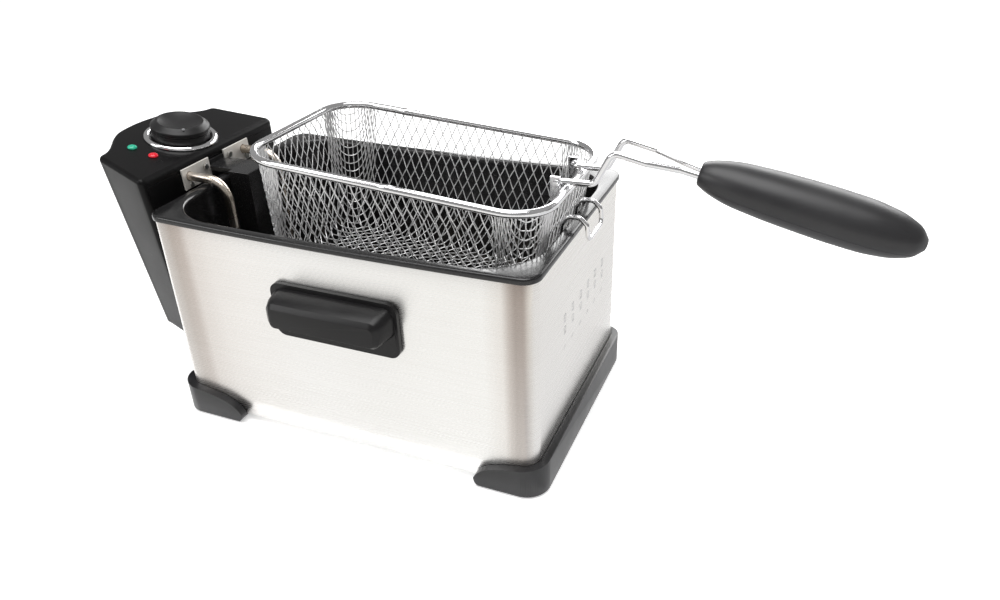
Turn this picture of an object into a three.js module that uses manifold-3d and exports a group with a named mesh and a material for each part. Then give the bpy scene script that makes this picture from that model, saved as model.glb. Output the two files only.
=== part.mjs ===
// A deep fryer with a lift-off control head, a lift-out enamelled tank and a wire
// basket with a folding handle. Millimetres, +Z up. The control head is at -X, the
// basket handle reaches out at +X, and the table is at z = 0.
import * as THREE from 'three';
import { mergeVertices } from 'three/addons/utils/BufferGeometryUtils.js';
import Module from 'manifold-3d';

const wasm = await Module();
wasm.setup();

// Driving dimensions, measured from the middle of the steel housing.
const GAP = 0.3;             // running clearance between neighbouring pieces
const HALF_L = 135;          // housing, half its length
const HALF_W = 86.5;         // housing, half its width
const CORNER_R = 10;         // housing, radius of its upright corners
const STEEL_Z0 = 5.5;        // lower edge of the steel
const STEEL_Z1 = 152.6;      // upper edge of the steel, under the tank's lip
const STEEL_T = 0.8;
const RIM_Z = 155;           // top of the tank's flange
const TANK_L = 128;          // half length of the tank's opening
const TANK_W = 81;           // half width of the tank's opening
const TANK_R = 36;           // corner radius of the tank's opening
const TANK_FLOOR = 22;       // inside floor of the tank
const TANK_T = 1.0;
const END_OUT = 6;           // how far the base mouldings stand outside the steel
const END_TOP = 23.5;        // height of the base mouldings
const HEAD_TILT = 0.185;     // slope of the control panel, rise per mm towards -X
const HEAD_FRONT = -149;     // front edge of the control panel
const HEAD_FRONT_LOW = -142; // front edge of the head's underside
const HEAD_TOP = 170;        // height of the panel's front edge
const HEAD_LOW = 45;         // height of the head's underside
const HEAD_WALL = 2.4;
const LIP = 3.4;             // the panel's edge turns down this far over the cover
const KNOB_X = -176.7;         // where the knob's spindle goes through the panel
const TUBE_R = 3.25;         // heating tube
const TUBE_Y = 30;         // the tube's two ends lie this far either side
const TUBE_Z = 159;          // height of the tube where it crosses the flange
const WIRE_RIM = 2.5;        // radius of the basket's rim wire
const WIRE_HOOK = 1.5;       // radius of the hook wire
const WIRE_HANDLE = 2.0;     // radius of the handle wire
const BASKET_X0 = -73.4;     // basket rim, centre line
const BASKET_X1 = 130;
const BASKET_W = 63;
const BASKET_R = 27;
const BASKET_Z = 188.2;      // rim height at x = 0
const BASKET_FALL = 0.072;   // the rim falls this much per mm towards +X
const BASKET_DEEP = 92;
const PIVOT_X = 123.5;       // folding axis of the basket handle, along Y
const PIVOT_Z = 183.4;
const HANDLE_X = 2.5;        // middle of each carrying handle
const CENTRE_X = 55.5;       // middle of the whole length, put at the origin

const V = (x, y, z) => new THREE.Vector3(x, y, z);

// --- solids -------------------------------------------------------------------

function toManifold(geometry) {
  const bare = geometry.clone();
  bare.deleteAttribute('normal');
  bare.deleteAttribute('uv');
  const merged = mergeVertices(bare, 1e-4);
  return new wasm.Manifold(new wasm.Mesh({
    numProp: 3,
    vertProperties: new Float32Array(merged.attributes.position.array),
    triVerts: new Uint32Array(merged.index.array),
  }));
}

function toGeometry(manifold) {
  const mesh = manifold.getMesh();
  const points = new Float32Array(mesh.numVert * 3);
  for (let i = 0; i < mesh.numVert; i += 1) {
    for (let k = 0; k < 3; k += 1) {
      points[3 * i + k] = mesh.vertProperties[mesh.numProp * i + k];
    }
  }
  const geometry = new THREE.BufferGeometry();
  geometry.setAttribute('position', new THREE.BufferAttribute(points, 3));
  geometry.setIndex(new THREE.BufferAttribute(new Uint32Array(mesh.triVerts), 1));
  return geometry;
}

function solid(shape) {
  return shape.isBufferGeometry ? toManifold(shape) : shape;
}

const join = (...all) => all.map(solid).reduce((a, b) => a.add(b));
const cut = (body, ...tools) => tools.map(solid).reduce((a, b) => a.subtract(b), solid(body));
const common = (a, b) => solid(a).intersect(solid(b));

// The largest body of a cut solid, without the dust that a cut may leave.
function asGeometry(shape) {
  if (shape.isBufferGeometry) {
    return shape;
  }
  const bodies = shape.decompose().sort((a, b) => b.volume() - a.volume());
  return toGeometry(bodies[0].asOriginal().simplify(0.002));
}

// Turns a skin the right way out by the sign of its volume.
function outward(geometry) {
  const p = geometry.attributes.position;
  const index = geometry.index.array;
  const a = V(0, 0, 0);
  const b = V(0, 0, 0);
  const c = V(0, 0, 0);
  let volume = 0;
  for (let i = 0; i < index.length; i += 3) {
    a.fromBufferAttribute(p, index[i]);
    b.fromBufferAttribute(p, index[i + 1]);
    c.fromBufferAttribute(p, index[i + 2]);
    volume += a.dot(b.cross(c));
  }
  if (volume < 0) {
    for (let i = 0; i < index.length; i += 3) {
      [index[i], index[i + 1]] = [index[i + 1], index[i]];
    }
  }
  return geometry;
}

// A closed skin over rings of equal length, with a fan at each end.
function loft(rings) {
  const count = rings[0].length;
  const points = [];
  const faces = [];
  rings.forEach((ring) => ring.forEach((p) => points.push(p.x, p.y, p.z)));
  for (let r = 0; r + 1 < rings.length; r += 1) {
    for (let i = 0; i < count; i += 1) {
      const a = r * count + i;
      const b = r * count + ((i + 1) % count);
      faces.push(a, b, b + count, a, b + count, a + count);
    }
  }
  [0, rings.length - 1].forEach((r) => {
    const middle = rings[r].reduce((s, p) => s.add(p), V(0, 0, 0)).divideScalar(count);
    const hub = points.length / 3;
    points.push(middle.x, middle.y, middle.z);
    for (let i = 0; i < count; i += 1) {
      const a = r * count + i;
      const b = r * count + ((i + 1) % count);
      faces.push(...(r === 0 ? [hub, b, a] : [hub, a, b]));
    }
  });
  const geometry = new THREE.BufferGeometry();
  geometry.setAttribute('position', new THREE.Float32BufferAttribute(points, 3));
  geometry.setIndex(faces);
  return outward(geometry);
}

// --- flat outlines ------------------------------------------------------------

function roundRect(x0, x1, y0, y1, r) {
  const s = new THREE.Shape();
  s.absarc(x1 - r, y1 - r, r, 0, Math.PI / 2);
  s.absarc(x0 + r, y1 - r, r, Math.PI / 2, Math.PI);
  s.absarc(x0 + r, y0 + r, r, Math.PI, Math.PI * 1.5);
  s.absarc(x1 - r, y0 + r, r, Math.PI * 1.5, Math.PI * 2);
  return s;
}

const centred = (hx, hy, r) => roundRect(-hx, hx, -hy, hy, r);

// A shape raised from z0 to z1; `arc` is the number of chords in each corner.
function prism(shape, z0, z1, arc = 6) {
  const how = { depth: z1 - z0, bevelEnabled: false, curveSegments: arc };
  return new THREE.ExtrudeGeometry(shape, how).translate(0, 0, z0);
}

// A shape drawn in X and Z, carried along Y from y0 to y1.
function prismY(shape, y0, y1, arc = 6) {
  const how = { depth: y1 - y0, bevelEnabled: false, curveSegments: arc };
  return new THREE.ExtrudeGeometry(shape, how).rotateX(Math.PI / 2).translate(0, y1, 0);
}

function box(x0, x1, y0, y1, z0, z1) {
  const g = new THREE.BoxGeometry(x1 - x0, y1 - y0, z1 - z0);
  return g.translate((x0 + x1) / 2, (y0 + y1) / 2, (z0 + z1) / 2);
}

// A cylinder from one point to another.
function rod(from, to, r, sides = 12) {
  const along = to.clone().sub(from);
  const g = new THREE.CylinderGeometry(r, r, along.length(), sides);
  g.applyQuaternion(new THREE.Quaternion().setFromUnitVectors(V(0, 1, 0), along.clone().normalize()));
  return g.translate((from.x + to.x) / 2, (from.y + to.y) / 2, (from.z + to.z) / 2);
}

// Revolved body; profile is [radius, height] pairs that start and end on the axis.
function lathe(profile, sides = 24) {
  const g = new THREE.LatheGeometry(profile.map(([r, z]) => new THREE.Vector2(r, z)), sides);
  return g.rotateX(Math.PI / 2);
}

// --- bent wire and tube -------------------------------------------------------

// The corner points of a bend line, each corner rounded to `r` with `n` chords.
function bend(corners, r, n = 5) {
  const out = [corners[0]];
  for (let i = 1; i + 1 < corners.length; i += 1) {
    const p = corners[i];
    const a = corners[i - 1].clone().sub(p);
    const b = corners[i + 1].clone().sub(p);
    const half = a.angleTo(b) / 2;
    const back = Math.min(r / Math.tan(half), a.length() * 0.48, b.length() * 0.48);
    const radius = back * Math.tan(half);
    a.normalize();
    b.normalize();
    const middle = a.clone().add(b).normalize().multiplyScalar(radius / Math.sin(half)).add(p);
    const start = p.clone().addScaledVector(a, back).sub(middle);
    const end = p.clone().addScaledVector(b, back).sub(middle);
    const sweep = start.angleTo(end);
    for (let k = 0; k <= n; k += 1) {
      const w0 = Math.sin(sweep * (1 - k / n)) / Math.sin(sweep);
      const w1 = Math.sin(sweep * (k / n)) / Math.sin(sweep);
      out.push(start.clone().multiplyScalar(w0).addScaledVector(end, w1).add(middle));
    }
  }
  out.push(corners[corners.length - 1]);
  return out;
}

// A line of points as a curve that ExtrudeGeometry visits point by point.
class BendLine extends THREE.Curve {
  constructor(points) {
    super();
    this.points = points;
  }

  getPointAt(t) {
    return this.points[Math.round(t * (this.points.length - 1))].clone();
  }

  getTangentAt(t) {
    const i = Math.round(t * (this.points.length - 1));
    const last = this.points.length - 1;
    const before = this.points[Math.max(i - 1, 0)];
    const after = this.points[Math.min(i + 1, last)];
    const here = this.points[i];
    const into = here.clone().sub(before).normalize();
    const out = after.clone().sub(here).normalize();
    return into.add(out).normalize();
  }
}

function wire(points, r, sides = 8) {
  const section = new THREE.Shape();
  for (let i = 0; i < sides; i += 1) {
    const a = (i / sides) * Math.PI * 2;
    section[i === 0 ? 'moveTo' : 'lineTo'](r * Math.cos(a), r * Math.sin(a));
  }
  const path = new BendLine(points);
  return new THREE.ExtrudeGeometry(section, { extrudePath: path, steps: points.length - 1 });
}

// --- materials and nodes ------------------------------------------------------

const finish = (color, roughness, metalness) => ({ color, roughness, metalness });
const STEEL = finish(0xd9d5d1, 0.38, 0.85);
const CHROME = finish(0xdcdcde, 0.15, 1.0);
const ENAMEL = finish(0x1c1c1e, 0.22, 0.1);
const BLACK = finish(0x17181a, 0.48, 0.0);
const DARK_GREY = finish(0x3a3b3d, 0.55, 0.0);
const RUBBER = finish(0x101010, 0.85, 0.0);
const ZINC = finish(0xb9bab8, 0.4, 0.9);
const WARM_STEEL = finish(0xb3a99b, 0.33, 0.95);

const part = new THREE.Group();

function put(name, shape, look) {
  const mesh = new THREE.Mesh(asGeometry(shape), new THREE.MeshStandardMaterial(look));
  mesh.name = name;
  part.add(mesh);
}

// A pan-head screw along `axis` from its seat: head behind the seat, shank ahead.
function screw(seat, axis, head, shank) {
  const top = seat.clone().addScaledVector(axis, -head.high);
  const tip = seat.clone().addScaledVector(axis, shank.long);
  return join(
    rod(top, seat, head.r, 12),
    rod(seat.clone().addScaledVector(axis, -0.2), tip, shank.r, 8),
  );
}

// --- housing ------------------------------------------------------------------

const BASE_SCREWS = [[129, 58], [129, -58], [-129, 58], [-129, -58]];
const HANDLE_SCREWS = [-24, 24];
const HANDLE_SCREW_Z = 107;
const RAIL_SCREW_Z = [74, 122];
const SHANK_R = 1.6;
const PAD_R = 6.5;           // rubber foot pads
const PAD_AT = [129.5, 80.5];
const SCREW_R = 3;           // screw heads
const BASE_SCREW_R = 3.2;

function housingShell() {
  const outer = prism(centred(HALF_L, HALF_W, CORNER_R), STEEL_Z0, STEEL_Z1, 8);
  const t = STEEL_T;
  const inner = prism(centred(HALF_L - t, HALF_W - t, CORNER_R - t), STEEL_Z0 + t, STEEL_Z1 + 1, 8);
  const ledge = 9;
  const open = prism(centred(HALF_L - ledge, HALF_W - ledge, CORNER_R - ledge), STEEL_Z0 - 1, 20, 4);
  const holes = [];
  BASE_SCREWS.forEach(([x, y]) => holes.push(rod(V(x, y, 0), V(x, y, 10), SHANK_R + GAP, 8)));
  HANDLE_SCREWS.forEach((dx) => {
    const x = HANDLE_X + dx;
    const wide = HALF_W + 5;
    holes.push(rod(V(x, -wide, HANDLE_SCREW_Z), V(x, wide, HANDLE_SCREW_Z), SHANK_R + GAP, 8));
  });
  RAIL_SCREW_Z.forEach((z) => {
    holes.push(rod(V(-HALF_L - 5, 0, z), V(-HALF_L + 5, 0, z), SHANK_R + GAP, 8));
  });
  return cut(outer, inner, open, ...holes);
}

function basePlate() {
  const inset = STEEL_T + GAP;
  const z0 = STEEL_Z0 + STEEL_T + GAP;
  const plate = prism(centred(HALF_L - inset, HALF_W - inset, CORNER_R - inset), z0, z0 + 1, 5);
  const slots = [];
  for (let k = -3; k <= 3; k += 1) {
    slots.push(prism(roundRect(k * 24 - 3, k * 24 + 3, -38, 38, 3), z0 - 1, z0 + 3, 2));
  }
  BASE_SCREWS.forEach(([x, y]) => slots.push(rod(V(x, y, 0), V(x, y, 12), SHANK_R + GAP, 8)));
  return cut(plate, ...slots);
}

// One end of the base: a wall along the end of the steel that runs on round both
// corners as two feet, and a ledge under the steel. `side` is +1 or -1 along X,
// `tip` is where its feet end.
function baseEnd(side, tip) {
  const out = END_OUT;
  const body = prism(centred(HALF_L + out, HALF_W + out, CORNER_R + out), 1.2, END_TOP, 8);
  const steel = prism(centred(HALF_L + GAP, HALF_W + GAP, CORNER_R + GAP), STEEL_Z0 - GAP, END_TOP + 1, 8);
  const middle = prism(centred(HALF_L - 14, HALF_W - 14, 10), 0, 20, 4);
  const foot = new THREE.Shape();
  foot.moveTo(tip + 5, 0);
  foot.quadraticCurveTo(tip, 2, tip, 7);
  foot.quadraticCurveTo(tip + 3, 14.5, tip + 15, 18);
  foot.quadraticCurveTo(tip + 28, 21.5, HALF_L + out, END_TOP);
  foot.lineTo(HALF_L + out + 5, END_TOP);
  foot.lineTo(HALF_L + out + 5, 0);
  foot.closePath();
  const cutter = prismY(foot, -HALF_W - 20, HALF_W + 20, 6);
  const holes = [];
  [-1, 1].forEach((s) => {
    const pad = V(PAD_AT[0], s * PAD_AT[1], 0);
    const [x, y] = [BASE_SCREWS[0][0], s * BASE_SCREWS[0][1]];
    holes.push(rod(pad, V(pad.x, pad.y, 3.4 + GAP), PAD_R + GAP, 16));
    holes.push(rod(V(x, y, 0), V(x, y, 3.5), BASE_SCREW_R + GAP, 12));
    holes.push(rod(V(x, y, 0), V(x, y, 12), SHANK_R + GAP, 8));
  });
  const end = cut(common(cut(body, steel, middle), cutter), ...holes);
  return side > 0 ? end : end.mirror([1, 0, 0]);
}

put('housing_shell', housingShell(), STEEL);
put('base_plate', basePlate(), ZINC);
put('base_end_right', baseEnd(1, 94), DARK_GREY);
put('base_end_left', baseEnd(-1, 88), DARK_GREY);
[['front_right', 1, -1], ['front_left', -1, -1], ['rear_right', 1, 1], ['rear_left', -1, 1]]
  .forEach(([where, sx, sy]) => {
    const x = sx * PAD_AT[0];
    const y = sy * PAD_AT[1];
    put(`foot_pad_${where}`, rod(V(x, y, 0), V(x, y, 3.4), PAD_R, 16), RUBBER);
    const seat = V(sx * BASE_SCREWS[0][0], sy * BASE_SCREWS[0][1], 3.2);
    const fixing = screw(seat, V(0, 0, 1), { r: BASE_SCREW_R, high: 1.6 }, { r: SHANK_R, long: 7 });
    put(`base_screw_${where}`, fixing, ZINC);
  });

// Carrying handle: a wall plate and a hollow grip, open underneath for the fingers.
const PLATE_Y = 3;           // thickness of the handle's wall plate
const GRIP_OUT = 19;         // the grip stands this far off the steel
function sideHandle(side) {
  const y0 = HALF_W + GAP;
  const plateShape = roundRect(-45.5, 45.5, 85, 123.5, 7);
  const plate = prismY(plateShape, y0, y0 + PLATE_Y, 5);
  const rings = [[0, 0, 99], [0.55, 0, 99], [0.86, 1.4, 99], [1, 4, 100.5]];
  const outline = rings.map(([t, inset, low]) => {
    const hx = 43.5 - 2.5 * t - inset;
    const high = 120.2 - 2.4 * t - inset;
    const r = Math.max(7 - inset, 2.5);
    const s = roundRect(-hx, hx, low, high, r).getPoints(4);
    s.pop();
    const y = y0 + PLATE_Y - 0.5 + (GRIP_OUT - PLATE_Y + 0.5 - GAP) * t;
    return s.map((p) => V(p.x, y, p.y));
  });
  const hollow = prismY(roundRect(-37, 37, 90, 115.5, 4), y0 + PLATE_Y, y0 + GRIP_OUT - 4, 4);
  const holes = [];
  HANDLE_SCREWS.forEach((dx) => {
    const from = V(dx, y0 - 5, HANDLE_SCREW_Z);
    holes.push(rod(from, V(dx, y0 + PLATE_Y - 0.6, HANDLE_SCREW_Z), SHANK_R + GAP, 8));
  });
  const body = cut(join(plate, cut(loft(outline), hollow)), ...holes).translate([HANDLE_X, 0, 0]);
  return side > 0 ? body : body.mirror([0, 1, 0]);
}
put('handle_front', sideHandle(-1), BLACK);
put('handle_rear', sideHandle(1), BLACK);
[['front', -1], ['rear', 1]].forEach(([where, s]) => {
  HANDLE_SCREWS.forEach((dx, i) => {
    const seat = V(HANDLE_X + dx, s * (HALF_W - STEEL_T - GAP), HANDLE_SCREW_Z);
    const fixing = screw(seat, V(0, s, 0), { r: SCREW_R, high: 1.4 }, { r: SHANK_R, long: 3.2 });
    put(`handle_screw_${where}_${i + 1}`, fixing, ZINC);
  });
});

// Guide rail on the left end of the housing: a plate with two upright ribs.
const RAIL_Z0 = 62;
const RAIL_Z1 = 132;
const RIB_Y = 24;
function headRail() {
  const x = -HALF_L - GAP;
  const plate = box(x - 1.6, x, -30, 30, RAIL_Z0, RAIL_Z1);
  const rib = (y) => box(x - 9.5, x - 1, y - 1.2, y + 1.2, RAIL_Z0, RAIL_Z1);
  const holes = RAIL_SCREW_Z.map((z) => rod(V(x - 5, 0, z), V(x + 5, 0, z), SHANK_R + GAP, 8));
  return cut(join(plate, rib(-RIB_Y), rib(RIB_Y)), ...holes);
}
put('head_rail', headRail(), ZINC);
RAIL_SCREW_Z.forEach((z, i) => {
  const seat = V(-HALF_L - GAP - 1.6 - GAP, 0, z);
  const fixing = screw(seat, V(1, 0, 0), { r: SCREW_R, high: 1.4 }, { r: SHANK_R, long: 5 });
  put(`rail_screw_${i + 1}`, fixing, ZINC);
});

// --- tank ---------------------------------------------------------------------

// Pressed and enamelled: flange, rolled lip over the steel, walls and dished floor.
function tank() {
  const lipOut = 1.5;
  const lipT = 1.1;
  const round = (grow) => centred(HALF_L + grow, HALF_W + grow, CORNER_R + grow);
  const flange = prism(round(lipOut), RIM_Z - 4, RIM_Z - 0.8, 8);
  const top = prism(round(lipOut - 0.8), RIM_Z - 1, RIM_Z, 8);
  const under = prism(round(lipOut - lipT), RIM_Z - 10, RIM_Z - 2, 8);
  const t = TANK_T;
  const wallRings = (grow, floor, top1) => {
    const levels = [[12, 0], [5.5, 1.6], [1.6, 5.5], [0, 12]];
    const rings = levels.map(([inset, up]) => {
      const s = centred(TANK_L + grow - inset, TANK_W + grow - inset, TANK_R + grow - inset).getPoints(7);
      s.pop();
      return s.map((p) => V(p.x, p.y, floor + up));
    });
    rings.push(rings[3].map((p) => V(p.x, p.y, top1)));
    return loft(rings);
  };
  const outside = wallRings(t, TANK_FLOOR - t, RIM_Z - 1.5);
  const inside = wallRings(0, TANK_FLOOR, RIM_Z + 2);
  return cut(join(cut(join(flange, top), under), outside), inside);
}
put('tank', tank(), ENAMEL);

// --- control head -------------------------------------------------------------

const panelZ = (x) => HEAD_TOP + HEAD_TILT * (HEAD_FRONT - x);
const frontLean = (HEAD_FRONT - HEAD_FRONT_LOW) / (HEAD_TOP - HEAD_LOW);
const frontX = (z) => HEAD_FRONT_LOW + frontLean * (z - HEAD_LOW);

// Plan of the head: straight front and sides, and a bulge behind the knob. `h` is 0
// at the underside and 1 at the panel.
function headPlan(h) {
  const mix = (low, high) => low + (high - low) * h;
  const front = mix(HEAD_FRONT_LOW, HEAD_FRONT);
  const wideFront = mix(66, 72);
  const wideRear = mix(55, 61);
  const rear = mix(-179, -196);
  const back = mix(-190, -217.5);
  const s = new THREE.Shape();
  s.moveTo(front, -wideFront + 5);
  s.quadraticCurveTo(front, -wideFront, front - 5, -wideFront + 0.5);
  s.lineTo(rear + 5, -wideRear - 0.8);
  s.quadraticCurveTo(rear - 1, -wideRear, rear - 1.5, -wideRear + 5);
  s.bezierCurveTo(rear - 3, -wideRear + 20, back + 2, -wideRear + 28, back + 1, -14);
  s.quadraticCurveTo(back, -6, back, 0);
  s.quadraticCurveTo(back, 6, back + 1, 14);
  s.bezierCurveTo(back + 2, wideRear - 28, rear - 3, wideRear - 20, rear - 1.5, wideRear - 5);
  s.quadraticCurveTo(rear - 1, wideRear, rear + 5, wideRear + 0.8);
  s.lineTo(front - 5, wideFront - 0.5);
  s.quadraticCurveTo(front, wideFront, front, wideFront - 5);
  const points = s.getPoints(4);
  return points[0].distanceTo(points[points.length - 1]) < 1e-6 ? points.slice(0, -1) : points;
}

// The plan pulled in by `inset` along its own normals.
function pulledIn(points, inset) {
  const back = THREE.ShapeUtils.area(points) > 0 ? -inset : inset;
  return points.map((p, i) => {
    const a = points[(i + points.length - 1) % points.length];
    const b = points[(i + 1) % points.length];
    return new THREE.Vector2(b.y - a.y, a.x - b.x).normalize().multiplyScalar(back).add(p);
  });
}

// The head as a solid, `inset` inside its outer skin, with rounded edges.
function headSolid(inset) {
  const levels = [[0, 2.5, 0], [0, 0, 2.5], [1, 0, -3.4], [1, 1, -1], [1, 3.4, 0]];
  const height = (h, x) => (h === 0 ? HEAD_LOW + inset : panelZ(x) - inset);
  return loft(levels.map(([h, edge, lift]) => {
    return pulledIn(headPlan(h), inset + edge).map((p) => V(p.x, p.y, height(h, p.x) + lift));
  }));
}

// The hollow carried out through the front face, below the panel's edge.
function headMouth(inset) {
  const long = 8;
  const levels = [[0, HEAD_LOW + inset], [1, HEAD_TOP - LIP - inset]];
  return loft(levels.map(([h, z]) => {
    return pulledIn(headPlan(h), inset).map((p) => V(p.x + long, p.y, z));
  }));
}

// Slab just behind the front face, between `d0` and `d1` behind it.
function frontSlab(d0, d1) {
  const s = new THREE.Shape();
  const z0 = HEAD_LOW - 10;
  const z1 = HEAD_TOP + 30;
  s.moveTo(frontX(z0) - d0, z0);
  s.lineTo(frontX(z1) - d0, z1);
  s.lineTo(frontX(z1) - d1, z1);
  s.lineTo(frontX(z0) - d1, z0);
  return prismY(s, -100, 100);
}

const knobFrame = new THREE.Matrix4().makeRotationY(Math.atan(HEAD_TILT))
  .setPosition(KNOB_X, 0, panelZ(KNOB_X));
const onPanel = (shape) => asGeometry(shape).applyMatrix4(knobFrame);
const LAMPS = [['green', -188.5, -36], ['red', -169.5, -37]];
const LAMP_R = 2.5;
const atLamp = (x, y, shape) => shape.applyMatrix4(
  new THREE.Matrix4().makeRotationY(Math.atan(HEAD_TILT)).setPosition(x, y, panelZ(x)),
);
const RESET = { y: 0, z: 92, r: 3.6 };
const GLAND = { y: 26, z: 64, r: 5.5 };

// Grooves, open at the bottom, in which the head rides down the rail's two ribs.
function ribSlots(z0) {
  return [-1, 1].map((s) => box(-152, -130, s * RIB_Y - 1.8, s * RIB_Y + 1.8, z0, RAIL_Z1 + 3));
}

function headShell() {
  const hollow = headSolid(HEAD_WALL);
  const mouth = headMouth(HEAD_WALL);
  const holes = [
    onPanel(rod(V(0, 0, -12), V(0, 0, 12), 4.4, 12)),
    rod(V(-230, RESET.y, RESET.z), V(-185, RESET.y, RESET.z), RESET.r + GAP, 16),
    rod(V(-230, GLAND.y, GLAND.z), V(-160, GLAND.y, GLAND.z), GLAND.r + GAP, 16),
  ];
  LAMPS.forEach(([, x, y]) => {
    holes.push(atLamp(x, y, rod(V(0, 0, -9), V(0, 0, 9), LAMP_R + GAP, 14)));
  });
  return cut(headSolid(0), hollow, mouth, ...holes, ...ribSlots(HEAD_LOW - 5));
}
put('head_shell', headShell(), BLACK);

// Cover that closes the head towards the tank.
const PLATE_Z0 = 150.5;
const PLATE_Z1 = 165.5;
const PLATE_Y0 = 8.3;
const PLATE_Y1 = 36.8;
const PLATE_SCREWS = [[13.5, 160.5], [31.2, 153.2]];
const BULB_Y = 6;
const CAPILLARY_Z = 156.7;

function tubeHoles() {
  const hole = (y) => rod(V(-170, y, TUBE_Z), V(-135, y, TUBE_Z), TUBE_R + GAP, 16);
  return [hole(-TUBE_Y), hole(TUBE_Y)];
}

function plateScrewHoles() {
  const holes = [];
  [-1, 1].forEach((s) => PLATE_SCREWS.forEach(([y, z]) => {
    holes.push(rod(V(-170, s * y, z), V(-135, s * y, z), 1.3 + GAP, 8));
  }));
  return holes;
}

function headCover() {
  const sheet = common(headMouth(HEAD_WALL + GAP), frontSlab(0.4, 2.8));
  const capillaries = [-1, 1].map((s) => {
    return rod(V(-170, s * BULB_Y, CAPILLARY_Z), V(-135, s * BULB_Y, CAPILLARY_Z), 1.4, 8);
  });
  const holes = [...tubeHoles(), ...plateScrewHoles(), ...capillaries, ...ribSlots(HEAD_LOW)];
  return cut(sheet, ...holes);
}
put('head_cover', headCover(), BLACK);

// Dial: chrome ring round the knob, two lamps beside it.
const RING = [[21.6, GAP], [26, GAP], [25.7, 1.4], [24, 2.6], [22.1, 1.8], [21.6, GAP]];
put('dial_ring', onPanel(lathe(RING, 32)), CHROME);
const LAMP_LOOK = { green: finish(0x1f9f70, 0.25, 0), red: finish(0xd0142c, 0.25, 0) };
LAMPS.forEach(([name, x, y]) => {
  const lamp = lathe([[0, -5], [LAMP_R, -5], [LAMP_R, GAP], [3.3, GAP], [3, 1.1], [1.6, 1.7], [0, 1.9]], 14);
  put(`lamp_${name}`, atLamp(x, y, lamp), LAMP_LOOK[name]);
});

// Knob: a drum with a chamfered rim, a dished top and a pointer pip.
const KNOB_R = 20.6;
const POINTER = THREE.MathUtils.degToRad(-42);
function knob() {
  const drum = lathe([
    [0, 0.9], [KNOB_R, 0.9], [KNOB_R, 6.2], [KNOB_R - 0.7, 6.6], [KNOB_R - 0.7, 7.2], [KNOB_R, 7.6],
    [KNOB_R - 0.2, 10.4], [KNOB_R - 1.8, 12.6], [15.4, 13.4], [14.6, 12.9], [8, 10.7], [0, 10.1],
  ], 32);
  const pip = rod(
    V(17.4 * Math.cos(POINTER), 17.4 * Math.sin(POINTER), 11),
    V(17.4 * Math.cos(POINTER), 17.4 * Math.sin(POINTER), 13.6),
    0.9,
    8,
  );
  const bore = rod(V(0, 0, 0), V(0, 0, 8.3), 3 + GAP, 12);
  return cut(join(drum, pip), bore);
}
put('knob', onPanel(knob()), BLACK);
put('thermostat_spindle', onPanel(rod(V(0, 0, -6), V(0, 0, 8), 3, 12)), ZINC);

// Inside the head, under the panel.
put('thermostat', onPanel(join(
  rod(V(0, 0, -22), V(0, 0, -10), 17, 20),
  rod(V(0, 0, -10.5), V(0, 0, -6.4), 6, 12),
)), ZINC);
put('safety_limiter', join(
  rod(V(-180, 0, RESET.z), V(-158, 0, RESET.z), 12, 16),
  rod(V(-184, 0, RESET.z), V(-179.5, 0, RESET.z), 5, 12),
), ZINC);
put('microswitch', box(-157, -149.3, -42, -30, 96, 112), BLACK);
put('terminal_block', box(-172, -150, 28, 48, 88, 98), finish(0xe6e2d6, 0.6, 0));
put('reset_button', rod(
  V(-204.5, RESET.y, RESET.z),
  V(-186, RESET.y, RESET.z),
  RESET.r,
  16,
), finish(0xb3201f, 0.45, 0));
put('cord_gland', cut(
  join(
    rod(V(-206, GLAND.y, GLAND.z), V(-180, GLAND.y, GLAND.z), GLAND.r, 16),
    rod(V(-200, GLAND.y, GLAND.z), V(-197, GLAND.y, GLAND.z), 7.4, 16),
  ),
  rod(V(-220, GLAND.y, GLAND.z), V(-170, GLAND.y, GLAND.z), 3.6, 12),
), RUBBER);

// --- heating element ------------------------------------------------------------

function elementPlate(s) {
  const ys = [s * PLATE_Y0, s * PLATE_Y1].sort((a, b) => a - b);
  const flat = common(frontSlab(-GAP, -1.5), box(-160, -140, ys[0], ys[1], PLATE_Z0, PLATE_Z1));
  return cut(flat, ...tubeHoles(), ...plateScrewHoles());
}
put('element_plate_front', elementPlate(-1), WARM_STEEL);
put('element_plate_rear', elementPlate(1), WARM_STEEL);
[['front', -1], ['rear', 1]].forEach(([where, s]) => {
  PLATE_SCREWS.forEach(([y, z], i) => {
    const seat = V(frontX(z) + 1.5 + GAP + 0.2, s * y, z);
    const fixing = screw(seat, V(-1, 0, 0), { r: 2.3, high: 1.3 }, { r: 1.3, long: 6.5 });
    put(`plate_screw_${where}_${i + 1}`, fixing, ZINC);
  });
});

const LANE_Z = 34;           // the tube's loops lie at this height
const DROP_X = -115.5;       // the legs go down here
function elementTube() {
  const half = [
    V(-160, TUBE_Y, TUBE_Z), V(DROP_X, TUBE_Y, TUBE_Z), V(DROP_X, TUBE_Y, LANE_Z),
    V(-86, TUBE_Y, LANE_Z), V(-74, 53, LANE_Z), V(98, 53, LANE_Z), V(98, 18, LANE_Z), V(-62, 18, LANE_Z),
  ];
  const other = half.map((p) => V(p.x, -p.y, p.z)).reverse();
  return wire(bend([...half, ...other], 15, 4), TUBE_R, 8);
}
put('heating_element', elementTube(), WARM_STEEL);

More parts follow.
